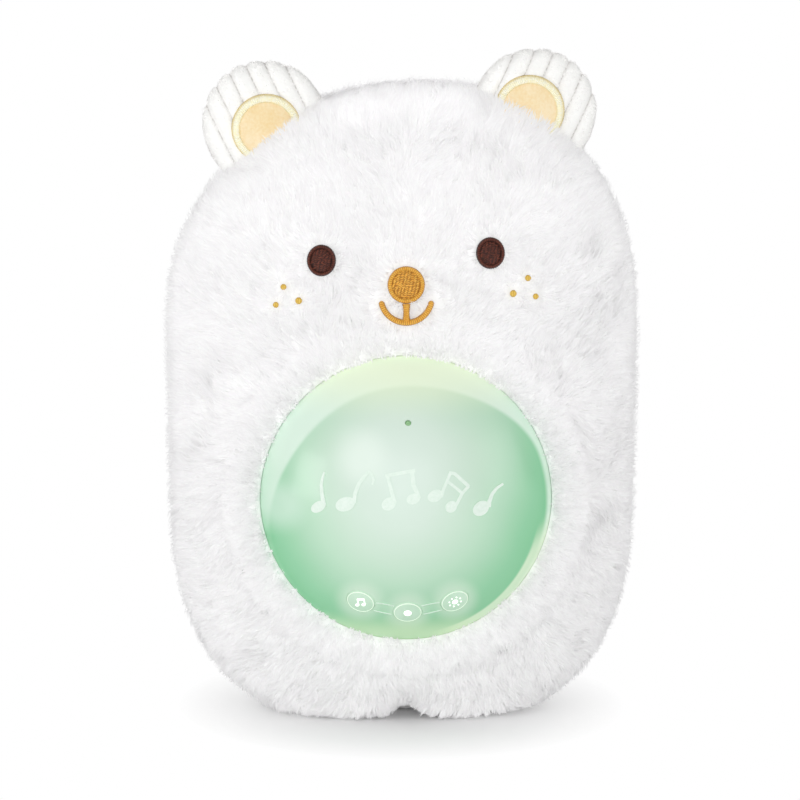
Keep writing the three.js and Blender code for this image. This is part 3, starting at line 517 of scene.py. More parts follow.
def rim_at(points):
    """Radius in millimetres where the fabric ends: smaller below the dome."""
    below = np.clip((dome_centre.z - points[:, 2]) / from_dome(points), 0, 1)
    return rim_radius / MM - ride_in * below


def edge_form():
    """The rolled edge, its lower half drawn in and out on to the dome."""
    form = place_form(turned(edge_profile, 120), module_frame)
    for v in form.verts:
        place = np.array([v.co])
        radius = from_dome(place)[0] / MM
        level = (rim_plane - v.co.y) / MM
        share = (rim_radius / MM - rim_at(place)[0]) / ride_in
        share *= 1 - smooth_step((radius - edge_inner) / 12)
        inner = radius - ride_in * share
        raised = level + ride_out * share
        if inner < 58.05:
            on_lens = math.sqrt(sphere_radius ** 2 - inner ** 2) + sphere_centre
            raised = max(raised, on_lens + 0.15 + 0.1 * (level - edge_foot))
        v.co.x *= inner / radius
        v.co.z = dome_centre.z + (v.co.z - dome_centre.z) * inner / radius
        v.co.y = rim_plane - raised * MM
    return form


# %% [markdown]
# The backing is a fine warp knit in white polyester. Its loops are half a
# millimetre wide, too fine to show, so they are drawn at twice that.

# %% Backing material
knit = start_material("knitted_polyester_backing", "#F3F3F1", Roughness=0.95)
loops = add_node(knit, "TexWave", {
    "Vector": add_node(knit, "TexCoord").outputs["Object"],
    "Scale": 1 / (1.0 * MM) / 20, "Distortion": 1.5,
}).outputs["Fac"]
shade = add_node(knit, "MixRGB", {0: loops, 1: srgb("#FFFFFF"), 2: srgb("#F8F8F7")})
dress(knit, shade.outputs[0], loops)
finish_piece(skin, knit, "toy", ["plush_cover"], "fur", fill=0.9)
rolled_edge = add_piece("rolled_fabric_edge", edge_form(), knit, "toy", slot="fur")

# %% [markdown]
# ## The pile
# Long pile is thousands of soft fibres that stick together in tufts. Each
# fibre here is a flat ribbon of seven points: it leaves the backing steeply,
# bends over, and its tip is drawn towards the tip of its tuft. The pile is
# brushed outwards from the dome, with swirls, and hangs at the back.

# %% Pile direction
rng = np.random.default_rng(11)


def unit(vectors):
    return vectors / np.maximum(np.linalg.norm(vectors, axis=1, keepdims=True), 1e-9)


def along_surface(vectors, normals):
    return unit(vectors - normals * np.sum(vectors * normals, axis=1, keepdims=True))


def swung(vectors, axes, angles):
    return vectors * np.cos(angles) + np.cross(axes, vectors) * np.sin(angles)


def swirl(points, pitch, seed):
    shift = Vector((seed, 2 * seed, 3 * seed))
    return np.array([noise.noise(Vector(p) / (pitch * MM) + shift) for p in points])


def brushed(points, normals):
    """Outwards from the dome in front, back along the sides, down behind, and off the stitches."""
    away = points - np.array(dome_centre)
    away[:, 1] = 0
    away = unit(away)
    behind = smooth_step((points[:, 1] / MM - 5) / 35)[:, None]
    side = smooth_step((np.abs(normals[:, 0]) - 0.5) / 0.4)[:, None]
    flow = (away + np.array([0, 0.9, -0.3]) * side) * (1 - behind) + np.array([0, 0, -1]) * behind
    turn = (1.3 * swirl(points, 26, 3.1) + 0.9 * swirl(points, 8, 7.7))[:, None]
    flow = swung(along_surface(flow, normals), normals, turn)
    apart, way = from_patches(points)
    beside = (1 - smooth_step((apart - 3) / 4))[:, None]
    return unit(flow * (1 - beside) + along_surface(way, normals) * beside)


# %% Tuft roots on a mesh
def tuft_roots(mesh, per_square_mm, keep):
    mesh.calc_loop_triangles()
    corners = np.empty(len(mesh.loop_triangles) * 3, dtype=np.int64)
    mesh.loop_triangles.foreach_get("vertices", corners)
    corners = corners.reshape(-1, 3)
    points, normals = points_of(mesh), normals_of(mesh)
    a, b, c = (points[corners[:, k]] for k in range(3))
    area = np.linalg.norm(np.cross(b - a, c - a), axis=1) / 2 / MM ** 2
    middle = (a + b + c) / 3
    facing = unit(normals[corners].sum(axis=1))
    area = np.where(keep(middle, facing), area, 0)
    count = int(area.sum() * per_square_mm)
    chosen = rng.choice(len(area), size=count, p=area / area.sum())
    s, t = rng.random(count), rng.random(count)
    over = s + t > 1
    s, t = np.where(over, 1 - s, s)[:, None], np.where(over, 1 - t, t)[:, None]
    roots = a[chosen] + (b - a)[chosen] * s + (c - a)[chosen] * t
    na, nb, nc = (normals[corners[chosen, k]] for k in range(3))
    directions = unit(na * (1 - s - t) + nb * s + nc * t)
    print("tufts", count, "on", round(area.sum() / 100), "square cm")
    return roots, directions


# %% Fibres of the tufts
fibres_per_tuft, tuft_radius = 6, 0.85
flyaway_share, flyaway_rise = 0.14, 1.8
bends = [math.radians(angle) for angle in (52, 28, 8)]


def grow(roots, normals, combs, length, rise, clear=None):
    """Points of every fibre, seven each, as an array, and a tone for each fibre."""
    count = len(roots)
    many = np.repeat(np.arange(count), fibres_per_tuft)
    n, comb = normals[many], combs[many]
    cross = np.cross(n, comb)
    spread = rng.normal(0, tuft_radius * MM, (len(many), 2))
    root = roots[many] + comb * spread[:, :1] + cross * spread[:, 1:]
    stray = rng.normal(0, 0.24, len(many))[:, None]
    comb = swung(comb, n, stray)
    own = (length[many] * rng.uniform(0.75, 1.15, len(many)) * MM)[:, None]
    flyaway = rng.random(len(many)) < flyaway_share
    lift = (rise[many] * np.where(flyaway, flyaway_rise, 1))[:, None]

    def path(start, direction, normal, reach, lift):
        stops = [start - normal * 0.5 * MM]
        for angle in bends:
            tilt = np.clip(angle * lift, 0, math.radians(88))
            stops.append(stops[-1] + (direction * np.cos(tilt) + normal * np.sin(tilt)) * reach / 3)
        return stops

    stops = path(root, comb, n, own, lift)
    middle = path(roots, combs, normals, (length * MM)[:, None], rise[:, None])
    for level, pull in ((2, 0.25), (3, 0.55)):
        stops[level] += (middle[level][many] - stops[level]) * np.where(flyaway, 0.1, pull)[:, None]
    axis = unit(stops[3] - stops[0])
    side = swung(unit(np.cross(axis, n)), axis, rng.uniform(-0.4, 0.4, len(many))[:, None])
    width = rng.uniform(0.85, 1.15, len(many))[:, None] * MM
    points = []
    for level, half in ((0, 0.17), (1, 0.18), (2, 0.14)):
        points += [stops[level] - side * half * width, stops[level] + side * half * width]
    points.append(stops[3])
    fibres = np.stack(points, axis=1)
    fibres[:, :, 2] = np.maximum(fibres[:, :, 2], 0.3 * MM)
    tone = rng.integers(0, 3, count)[many]
    tone = np.where(rng.random(len(many)) < 0.3, rng.integers(0, 3, len(many)), tone)
    kept = clear(root) if clear else slice(None)
    return fibres[kept], tone[kept]


def fibre_mesh(name, fibres, tone):
    """Two squares and a tip for each fibre, all in one mesh."""
    count = len(fibres)
    mesh = bpy.data.meshes.new(name)
    mesh.vertices.add(count * 7)
    mesh.vertices.foreach_set("co", fibres.reshape(-1).astype(np.float32))
    pattern = np.array([0, 1, 3, 2, 2, 3, 5, 4, 4, 5, 6])
    loops = (np.arange(count)[:, None] * 7 + pattern).ravel()
    mesh.loops.add(len(loops))
    mesh.loops.foreach_set("vertex_index", loops.astype(np.int32))
    starts = (np.arange(count)[:, None] * 11 + np.array([0, 4, 8])).ravel()
    mesh.polygons.add(len(starts))
    mesh.polygons.foreach_set("loop_start", starts.astype(np.int32))
    mesh.polygons.foreach_set("material_index", np.repeat(tone, 3).astype(np.int32))
    mesh.update(calc_edges=True)
    mesh.polygons.foreach_set("use_smooth", [True] * len(mesh.polygons))
    return mesh


# %% Fibre materials
# Acrylic pile is a bright white. Its tufts differ by a shade.
fibre_tones = [
    start_material(f"acrylic_pile_{name}", colour, Roughness=0.85)
    for name, colour in (("white", "#FAFAFA"), ("cream", "#F8F7F8"), ("shade", "#F5F4F5"))
]


def plant(name, fibres, tone, body, shadow=False, material=fibre_tones, slot="fur"):
    piece = add_piece(name, fibre_mesh(name, fibres, tone), material, body, slot=slot)
    piece.visible_shadow = shadow


# %% [markdown]
# The pile is shorter at the edge of the dome and around the stitches, stands
# up on the crown, and lies flat under the base. It is split into panels
# round the body, so that no single piece grows too heavy. Light passes through
# fine white fibres, so most of the pile casts no shadow, and only those in the
# shading pile do. They draw the tufts, and there are more of them low down.

# %% Grow the pile on the body
tufts_per_square_mm, pile_length = 0.34, 7.6
fibres_per_panel = 38000


def on_outside(middle, facing):
    open_front = (middle[:, 1] < 0) & (from_dome(middle) < 66 * MM)
    flap = (middle[:, 1] > 30 * MM) & (np.abs(middle[:, 0]) < flap_high.x)
    flap &= (middle[:, 2] > flap_low.z) & (middle[:, 2] < flap_high.z)
    return (outwardness(middle, facing) > 0.35) & ~open_front & ~flap


def clear_of_holes(root):
    away = (root[:, 1] > 0) | (from_dome(root) > (rim_at(root) + 0.3) * MM)
    return away & (from_patches(root)[0] > 0.15)


roots, normals = tuft_roots(skin.data, tufts_per_square_mm, on_outside)
height = roots[:, 2] / MM
ring = from_dome(roots) / MM
front = roots[:, 1] < 0
length = np.full(len(roots), pile_length)
length *= np.where(front, 0.5 + 0.5 * smooth_step((ring - 60) / 12), 1)
length *= 0.5 + 0.5 * smooth_step(from_patches(roots)[0] / 6)
length *= (0.6 + 0.4 * smooth_step(height / 10)) * (1 - 0.6 * foot_crease(roots))
belly, crown = smooth_step((height - 50) / 30), smooth_step((height - 224) / 14)
length *= 0.85 + 0.15 * belly + 0.45 * crown
rise = 1 + 1.1 * smooth_step((height - 218) / 20)
rise -= 0.5 * (1 - smooth_step(height / 8))
fibres, tone = grow(roots, normals, brushed(roots, normals), length, rise, clear_of_holes)


def edge_front(middle, facing):
    return (facing[:, 1] < -0.2) & (from_dome(middle) > (rim_at(middle) + 0.2) * MM)


def across_rim(roots, normals, share):
    """Directions away from the dome, or over it where the share is negative."""
    outward = unit((roots - np.array(dome_centre)) * [1, 0, 1])
    along = np.cross(normals, outward) * rng.normal(0, 0.35, len(roots))[:, None]
    return along_surface(outward * share[:, None] + along, normals)


roots, normals = tuft_roots(rolled_edge.data, 0.8, edge_front)
away = from_dome(roots) / MM - rim_at(roots)
high = (roots[:, 2] - dome_centre.z) / from_dome(roots)
over = (np.abs(high) > rng.uniform(0.2, 2.0, len(roots))) & (away < 2.5)
combs = across_rim(roots, normals, np.where(over, -1.0, 1.0))
length = np.where(over, 2.8, 3.8 + 2.6 * smooth_step(away / 8))
rise = np.where(over, 1.5, 0.6 + 0.4 * rng.random(len(roots)))
edge_fibres, edge_tone = grow(roots, normals, combs, length, rise, clear_of_holes)
fibres, tone = np.vstack([fibres, edge_fibres]), np.append(tone, edge_tone)

around = np.arctan2(fibres[:, 0, 0], -fibres[:, 0, 1])
low_down = 1 - smooth_step((fibres[:, 0, 2] / MM - 30) / 170)
shading = rng.random(len(fibres)) < 0.03 + 0.08 * low_down
print("fibres", len(fibres), "of which", int(shading.sum()), "cast a shadow")
for chosen, name in ((~shading, "pile_panel"), (shading, "shading_pile")):
    order = np.flatnonzero(chosen)[np.argsort(around[chosen], kind="stable")]
    for i, part in enumerate(np.array_split(order, math.ceil(len(order) / fibres_per_panel))):
        plant(f"{name}_{i + 1}", fibres[part], tone[part], "toy", name == "shading_pile")

# %% [markdown]
# ## The flap at the back
# A piece of the same fur fabric closes the battery opening. It is cut thinner
# than the body's padding, and its own pile hides the seam when it is shut.

# %% Flap backing and pile
flap_pile_depth = 3.0
flap = loose_object("flap_backing", copy_of("access_flap"))
even_faces(flap, 1.3)
draw_in(flap, lambda points: np.full(len(points), flap_pile_depth))
finish_piece(flap, knit, "access_flap", ["access_flap"], "fur", fill=0.9)

roots, normals = tuft_roots(
    flap.data, tufts_per_square_mm, lambda middle, facing: facing[:, 1] > 0.8,
)
shape = np.full(len(roots), pile_length), np.full(len(roots), 1.1)
fibres, tone = grow(roots, normals, brushed(roots, normals), *shape)
shading = rng.random(len(fibres)) < 0.05
plant("flap_pile", fibres[~shading], tone[~shading], "access_flap")
plant("flap_shading_pile", fibres[shading], tone[shading], "access_flap", shadow=True)

# %% [markdown]
# ## Filling
# Inside is white hollow fibre. It shows only when the flap is open, as a soft
# bed round the module, so an even remesh and a lumpy push are enough.

# %% Filling
filling = loose_object("fibre_filling", copy_of("stuffing"))
even_faces(filling, 5.0)
points, normals = points_of(filling.data), normals_of(filling.data)
lumps = 1.0 + 0.8 * swirl(points, 14, 1.0)
set_points(filling.data, points - normals * (lumps * MM)[:, None])
fluff = start_material("hollow_fibre_filling", "#F4F4F1", Roughness=1.0)
curls, shade = mottled(fluff, 4, 6.0, [(0.0, "#FAFAF8"), (1.0, "#E4E4E0")])
dress(fluff, shade, curls, 0.8, 1.5)
finish_piece(filling, fluff, "toy", ["stuffing"], "stuffing", fill=0.7)

# %% [markdown]
# ## Corduroy ears
# Each ear is a flat stuffed round of jumbo corduroy. Seven wide ribs run up
# it, with narrow grooves between. A sphere whose poles lie across the ear has
# its rings along the ribs, so moving each ring out or in makes them.

# %% Ear shape
ear_radius, ear_half_thickness, rib_height = 24.8, 9, 1.45
ear_sides = ((-1, "left"), (1, "right"))
# The middle of each ear, and how far its lining sits from that middle
ear_shapes = {-1: ((-54.3, 0, 236.8), Vector((0, 0))), 1: ((52.6, 0, 241.2), Vector((-2.7, 1.6)))}
rib_pitch = 2 * ear_radius / 7
ear_lean, seam_lean, head_tilt = (math.radians(angle) for angle in (26.3, 33.5, 3.6))
seam_below = 9


def ear_frame(side):
    middle = Matrix.Translation(Vector(ear_shapes[side][0]) * MM)
    return middle @ Matrix.Rotation(ear_lean * side, 4, "Y")


def trim_at_head(form, side):
    """Cuts a form off where the ear is sewn to the head, which leans a little."""
    out = Matrix.Rotation(seam_lean * side - head_tilt, 3, "Y") @ UP
    seat = ear_frame(side).translation - out * seam_below * MM
    bmesh.ops.bisect_plane(
        form, geom=form.verts[:] + form.edges[:] + form.faces[:],
        plane_co=seat, plane_no=out, clear_inner=True,
    )
    edges = [e for e in form.edges if e.is_boundary]
    bmesh.ops.holes_fill(form, edges=edges)
    bmesh.ops.recalc_face_normals(form, faces=form.faces)


def seated_on_ear(form, side):
    place_form(form, ear_frame(side))
    trim_at_head(form, side)
    return form


def ear_form(side):
    form = bmesh.new()
    bmesh.ops.create_uvsphere(form, u_segments=72, v_segments=240, radius=1)
    bmesh.ops.rotate(form, verts=form.verts, matrix=Matrix.Rotation(math.pi / 2, 3, "Y"))
    along_rib = form.verts.layers.float.new("ribs_across")
    for v in form.verts:
        across, turn = v.co.x, math.atan2(v.co.y, v.co.z)
        v[along_rib] = across * ear_radius / rib_pitch
        fill = math.sqrt(max(0, 1 - across * across))
        u = across * ear_radius
        groove = abs(math.cos(math.pi * u / rib_pitch)) ** 0.5
        wobble = noise.noise(Vector((u / 7, turn * 2, side * 5))) * 0.35
        rib = rib_height * groove * min(1, fill * 4) + wobble * fill
        y = (ear_half_thickness * fill ** 0.85 + rib) * math.sin(turn)
        z = (ear_radius * fill + rib) * math.cos(turn)
        v.co = Vector((u, y, z)) * MM
    return seated_on_ear(form, side)


# %% [markdown]
# Corduroy is cut cotton pile. The tops of the ribs are velvety and bright,
# and the ground between them lies in shade, which is painted into the colour
# as darker grooves. Each point of the ear knows its place across the ribs, so
# the grooves are drawn as thin as they really are.

# %% Corduroy
corduroy = start_material("jumbo_cotton_corduroy", "#FBFAF8", Roughness=0.95)
ribs = add_node(corduroy, "Attribute", attribute_name="ribs_across")
turn = add_node(corduroy, "Math", {0: ribs.outputs["Fac"], 1: math.pi}, operation="MULTIPLY")
wave = add_node(corduroy, "Math", {0: turn.outputs[0]}, operation="COSINE")
crest = add_node(corduroy, "Math", {0: wave.outputs[0]}, operation="ABSOLUTE")
hairs = add_node(corduroy, "TexNoise", {
    "Vector": add_node(corduroy, "TexCoord").outputs["Object"],
    "Scale": 1 / (0.9 * MM), "Detail": 3.0,
}).outputs[0]
groove_shade_and_hairs = add_node(corduroy, "Math", {0: hairs, 1: 0.25, 2: crest.outputs[0]}, operation="MULTIPLY_ADD")
# Painted shade: the grooves between the ribs are coloured grey, the crests near white
shade = add_node(corduroy, "ValToRGB", {0: groove_shade_and_hairs.outputs[0]}, stops=[
    (0.11, "#C4C0BC"), (0.18, "#E2E0DD"), (0.32, "#F6F5F3"), (0.8, "#FEFEFC"),
])
dress(corduroy, shade.outputs[0], hairs, 0.4, 0.3)

# The nap of cut cotton stands up as a fine fuzz, and softens the grooves
nap = start_material("cotton_nap", "#FCFBFA", Roughness=0.95)
nap_per_square_mm, nap_length, nap_rise = 0.4, 1.3, 1.2

# %% Ears
for side, name in ear_sides:
    ear = add_piece(
        f"{name}_ear_corduroy", ear_form(side), corduroy, "toy", [f"{name}_ear"], "corduroy", fill=0.8,
    )
    roots, normals = tuft_roots(
        ear.data, nap_per_square_mm, lambda middle, facing: facing[:, 1] < 0.35,
    )
    combs = unit(np.cross(normals, rng.normal(size=(len(roots), 3))))
    shape = np.full(len(roots), nap_length), np.full(len(roots), nap_rise)
    fibres, tone = grow(roots, normals, combs, *shape)
    plant(f"{name}_ear_nap", fibres, tone * 0, "toy", material=nap, slot="corduroy")

# %% [markdown]
# ## Stitching
# Embroidery is thread laid side by side. A satin band is a low rounded ridge
# with a thread every 0.8 mm across it. The band is a grid wrapped round its
# path, and each ring of points is raised or lowered to make the threads. Each
# point also keeps how deep in shade it lies, between two threads or at an edge,
# and the thread's colour is darkened by that much as painted shade.

# %% Wrapped grid and satin section
thread_pitch, around_band = 0.8, 12


def wrapped(place, along):
    """A closed skin whose points place gives, from shares along a band and round it."""
    form = bmesh.new()
    bmesh.ops.create_grid(form, x_segments=along, y_segments=around_band, size=1)
    shade = form.verts.layers.float.new("shade")
    for v in form.verts:
        v.co, v[shade] = place((v.co.x + 1) / 2, (v.co.y + 1) / 2)
    bmesh.ops.remove_doubles(form, verts=form.verts, dist=0.002 * MM)
    bmesh.ops.holes_fill(form, edges=[e for e in form.edges if e.is_boundary])
    bmesh.ops.recalc_face_normals(form, faces=form.faces)
    return form


def satin_section(s, t, width, rise, threads, edge_power=3.0, dip=0.3):
    """Across, up and shade for one point of a band, with thread ridges."""
    turn = 2 * math.pi * t
    ridge = math.cos(2 * math.pi * threads * s)
    across = width / 2 * math.cos(turn) * (1 + 0.05 * ridge)
    up = rise * (1 + 0.16 * ridge) * math.sin(turn) if turn < math.pi else 0.3 * math.sin(turn)
    return across, up, max(abs(math.cos(turn)) ** edge_power, dip * (1 - ridge))


def merged(forms):
    whole = bmesh.new()
    for form in forms:
        part = mesh_of("part", form)
        whole.from_mesh(part)
        bpy.data.meshes.remove(part)
    return whole


def satin_ring(radius_x, radius_z, width, rise, edge_power):
    threads = round(math.pi * (radius_x + radius_z) / thread_pitch)

    def place(s, t):
        across, up, shade = satin_section(s, t, width, rise, threads, edge_power)
        turn = 2 * math.pi * s
        x = (radius_x + across) * math.cos(turn)
        y = (radius_z + across) * math.sin(turn)
        return Vector((x, y, up)) * MM, shade

    return wrapped(place, threads * 8)


def shaded_ball(size, depth, u_segments, v_segments):
    """A squashed ball with one shade all over it, its poles along X."""
    ball = bmesh.new()
    bmesh.ops.create_uvsphere(ball, u_segments=u_segments, v_segments=v_segments, radius=1)
    bmesh.ops.rotate(ball, verts=ball.verts, matrix=Matrix.Rotation(math.pi / 2, 3, "Y"))
    bmesh.ops.scale(ball, verts=ball.verts, vec=Vector(size) * MM)
    shade = ball.verts.layers.float.new("shade")
    for v in ball.verts:
        v[shade] = depth
    return ball


def fill_stitches(radius_x, radius_z, level, lean, seed):
    """Short stitches in brick rows on a low crowned disc painted in the shade they cast."""
    pick = np.random.default_rng(seed)
    length, pitch = 1.7, 0.7
    forms = [shaded_ball((radius_x, radius_z, level), 0.8, 24, 36)]
    reach = max(radius_x, radius_z)
    turn = Matrix.Rotation(lean, 3, "Z")
    for row in range(int(2 * reach / pitch) + 1):
        u = -reach + (row % 3) * length / 3
        while u < reach:
            aside, along = pick.normal(0, 0.15), pick.normal(0, 0.06)
            spot = turn @ Vector((u + aside, row * pitch - reach + along, 0))
            out = math.hypot(spot.x / radius_x, spot.y / radius_z)
            if out < 0.95:
                stitch = shaded_ball((length * 0.48, 0.3, 0.26), pick.uniform(0, 0.4), 6, 4)
                twist = Matrix.Rotation(lean + pick.normal(0, 0.3), 4, "Z")
                spot.z = level * math.sqrt(1 - out * out) + pick.normal(0, 0.04)
                forms.append(place_form(stitch, Matrix.Translation(spot * MM) @ twist))
            u += length
    return merged(forms)


# %% [markdown]
# The CAD says where each patch sits. The flattest direction of its points is
# the way out of the face, and its lowest point that way is the fabric.

# %% Frame of a patch
def patch_frame(name):
    points = points_of(nodes[name].data)
    middle = points.mean(axis=0)
    out = Vector(np.linalg.svd(points - middle)[2][2])
    if out.y > 0:
        out = -out
    side = UP.cross(out).normalized()
    up = out.cross(side)
    low = min((Vector(p) - centre_of(name)).dot(out) for p in points)
    frame = Matrix((side, up, out)).transposed().to_4x4()
    frame.translation = centre_of(name) + out * low
    return frame


# %% Threads
def thread_material(name, light, dark, shadow):
    """Twisted polyester thread: silky, and painted darker, as shade, where one thread dips under the next
    and at a band's edges.
    """
    material = start_material(name, light, Roughness=0.5)
    grain, tone = mottled(material, thread_pitch, 2.0, [(0.36, dark), (0.62, light)])
    deep = add_node(material, "Attribute", attribute_name="shade")
    shade = add_node(material, "MixRGB", {0: deep.outputs["Fac"], 1: tone, 2: srgb(shadow)})
    dress(material, shade.outputs[0], grain, 0.3, 0.12)
    return material


# The last colour of each thread is painted shade, between threads and at a band's edges
brown_thread = thread_material("brown_embroidery_thread", "#80422F", "#5A291D", "#190806")
gold_thread = thread_material("golden_embroidery_thread", "#FFCF60", "#F6B444", "#9A5A12")
yellow_thread = thread_material("yellow_embroidery_thread", "#F4D268", "#E4B94A", "#C39A38")
# The straw band's golden edges are partly its own edge lines and partly painted shade
straw_thread = thread_material("straw_satin_thread", "#FFFFF2", "#FFFBDC", "#E2C45A")

# %% Eyes, nose and freckles
def stitched_round(name, thread, slot, border, edge_power, seed):
    half = half_of(name) / MM
    rx, rz = half.x, half.z
    ring = satin_ring(rx - border / 2, rz - border / 2, border, 1.15, edge_power)
    middle = fill_stitches(rx - border * 0.8, rz - border * 0.8, 0.85, 0.5, seed)
    form = place_form(merged([ring, middle]), patch_frame(name))
    return add_piece(name + "_stitches", form, thread, "toy", [name], slot)


stitched_round("left_eye", brown_thread, "brown_thread", 1.7, 0.9, 3)
stitched_round("right_eye", brown_thread, "brown_thread", 1.7, 0.9, 4)
stitched_round("nose", gold_thread, "gold_thread", 1.9, 3.0, 5)


def satin_dot(name):
    half = half_of(name) / MM
    radius = (half.x + half.z) / 2

    def place(s, t):
        u = 2 * s - 1
        width = 2 * radius * math.sqrt(max(0.0, 1 - u * u)) + 0.1
        across, up, shade = satin_section(s, t, width, 0.75 * (1 - 0.5 * u * u), 3)
        return Vector((u * radius, across, up)) * MM, shade

    form = place_form(wrapped(place, 30), patch_frame(name))
    return add_piece(name + "_stitches", form, yellow_thread, "toy", [name], "gold_thread")


for name in freckles:
    satin_dot(name)

# %% Smile
smile_length = smile_radius * 2 * smile_half_turn


def round_end(distance, half_width):
    """Share of the full width at a distance from the end of a band with round ends."""
    return math.sqrt(max(0.02, 1 - (1 - min(1, distance / half_width)) ** 2))


def smile_place(s, t):
    end = round_end(min(s, 1 - s) * smile_length, smile_width / 2)
    threads = round(smile_length / thread_pitch)
    across, up, shade = satin_section(s, t, smile_width * end, 1.2 * end, threads)
    turn = smile_half_turn * (2 * s - 1)
    radius = smile_radius + across
    return Vector((radius * math.sin(turn), -radius * math.cos(turn), up)) * MM, shade


def philtrum_place(s, t):
    top, low = -2.6, -smile_radius + 0.4
    width = 2.5 + 0.9 * (2 * s - 1) ** 2
    across, up, shade = satin_section(s, t, width, 1.1, round((top - low) / thread_pitch))
    return Vector((across, low + (top - low) * s, up)) * MM, shade


mouth_frame = patch_frame("mouth")
mouth_frame.translation.z = smile_middle.z
smile = merged([wrapped(smile_place, 280), wrapped(philtrum_place, 72)])
add_piece("smile_stitches", place_form(smile, mouth_frame), gold_thread, "toy", ["mouth"], "gold_thread")

# %% [markdown]
# The inner ear is a round of peach velour, edged with a straw-coloured satin
# band. Both follow the crown of the ear, and the head's fur hides their foot.

# %% Velour
velour = start_material("peach_velour", "#F9E4BA", Roughness=0.95)
place = add_node(velour, "TexCoord").outputs["Object"]
grain, soft = (
    add_node(velour, "TexNoise", {
        "Vector": place, "Scale": 1 / (size * MM), "Detail": detail,
    }).outputs[0]
    for size, detail in ((1.1, 4.0), (9, 1.0))
)
both = add_node(velour, "MixRGB", {0: 0.45, 1: grain, 2: soft})
shade = add_node(velour, "ValToRGB", {0: both.outputs[0]}, stops=[(0.35, "#F5DAA4"), (0.62, "#FBE8C3")])
dress(velour, shade.outputs[0], grain, 0.5, 0.3)

# %% Inner ears
velour_radius, border_radius, border_width = 10.9, 12.2, 3.6


def ear_seat(radius):
    return ear_half_thickness * math.sqrt(1 - (radius / ear_radius) ** 2) + 1.4


def inner_ear(side):
    form = bmesh.new()
    bmesh.ops.create_uvsphere(form, u_segments=64, v_segments=32, radius=1)
    for v in form.verts:
        flat = Vector((v.co.x, v.co.y)) * velour_radius
        puff = 0.7 * max(0, 1 - (flat.length / velour_radius) ** 2)
        flat += ear_shapes[side][1]
        level = ear_seat(flat.length) + (0.9 + 0.5 * v.co.z if v.co.z > 0 else 0.3 * v.co.z)
        v.co = Vector((flat.x, -(level + (puff if v.co.z > 0 else 0)), flat.y)) * MM
    return seated_on_ear(form, side)


def ear_border(side):
    threads = round(2 * math.pi * border_radius / thread_pitch)

    def place(s, t):
        across, up, shade = satin_section(s, t, border_width, 1.5, threads, 3.5, 0.05)
        turn = 2 * math.pi * s
        flat = Vector((math.sin(turn), math.cos(turn))) * (border_radius + across) + ear_shapes[side][1]
        return Vector((flat.x, -(ear_seat(flat.length) + 0.2 + up), flat.y)) * MM, shade

    return seated_on_ear(wrapped(place, threads * 8), side)


for side, name in ear_sides:
    add_piece(f"{name}_inner_ear", inner_ear(side), velour, "toy", [f"{name}_ear_lining"], "lining")
    add_piece(f"{name}_inner_ear_border", ear_border(side), straw_thread, "toy", slot="lining")

# %% [markdown]
# ## The dome
# The dome is one moulding in milky mint polycarbonate, lit from inside. It is
# turned from a profile, as a lathe would, and then drilled for the buttons
# and the microphone. A spin of the profile about its axis is the plain way.

# %% Sizes of the dome
button_polar, button_spread = math.radians(38.75), math.radians(26.5)
mic_polar = math.radians(31.8)


def arc(radius, centre, start, end, steps):
    turns = [start + (end - start) * i / steps for i in range(steps + 1)]
    return [(radius * math.sin(turn), centre + radius * math.cos(turn)) for turn in turns]


def on_dome(polar, turn):
    out = Vector((math.sin(polar) * math.sin(turn), -math.sin(polar) * math.cos(turn), math.cos(polar)))
    side = Vector((0, 1, 0)).cross(out).normalized()
    frame = Matrix((side, out.cross(side), out)).transposed().to_4x4()
    frame.translation = (out * sphere_radius + Vector((0, 0, sphere_centre))) * MM
    return module_frame @ frame


button_names = ["music", "centre", "brightness"]
button_frames = [on_dome(button_polar, step * button_spread) for step in (-1, 0, 1)]

# %% Lens
rim_turn = math.asin(dome_rim / sphere_radius)
inner_radius, inner_rim = sphere_radius - lens_wall, dome_rim - lens_wall
inner_turn = math.asin(inner_rim / inner_radius)
flange_radius, flange_front, skirt_foot = 64, -5, -7
lens_profile = arc(sphere_radius, sphere_centre, 0, rim_turn, 56)[:-1]
lens_profile += [
    (57.95, 0.05), (dome_rim, -0.6), (dome_rim, flange_front), (flange_radius, flange_front),
    (flange_radius, skirt_foot), (inner_rim, skirt_foot),
]
lens_profile += arc(inner_radius, sphere_centre, inner_turn, 0, 30)
lens = loose_object("lens_blank", place_form(turned(lens_profile, 160), module_frame))

button_hole, mic_hole, drill_length = 5.9, 1.3, 12
mic_frame = on_dome(mic_polar, math.pi)
drills = bmesh.new()
for frame_here, radius in [(one, button_hole) for one in button_frames] + [(mic_frame, mic_hole)]:
    bmesh.ops.create_cone(
        drills, cap_ends=True, segments=48, radius1=radius * MM, radius2=radius * MM,
        depth=drill_length * MM, matrix=frame_here @ Matrix.Translation((0, 0, -1 * MM)),
    )
drill = loose_object("drills", drills)
cut = lens.modifiers.new("holes", "BOOLEAN")
cut.operation = "DIFFERENCE"
cut.solver = "EXACT"
cut.object = drill
apply_modifiers(lens)
bpy.data.objects.remove(drill)

# %% [markdown]
# A round of woven gauze lies behind the microphone hole and keeps dust out.

# %% Dust gauze
gauze = start_material("green_polyester_gauze", "#A5CF9E", Roughness=0.9)
dress(gauze, mottled(gauze, 0.3, 1.0, [(0.3, "#92C28B"), (0.7, "#B2D9AB")])[1])
gauze_profile = [(0, -0.9), (1.2, -0.9), (1.2, -1.2), (0, -1.2)]
add_piece("microphone_gauze", place_form(turned(gauze_profile, 32), mic_frame), gauze, "toy", slot="lens")
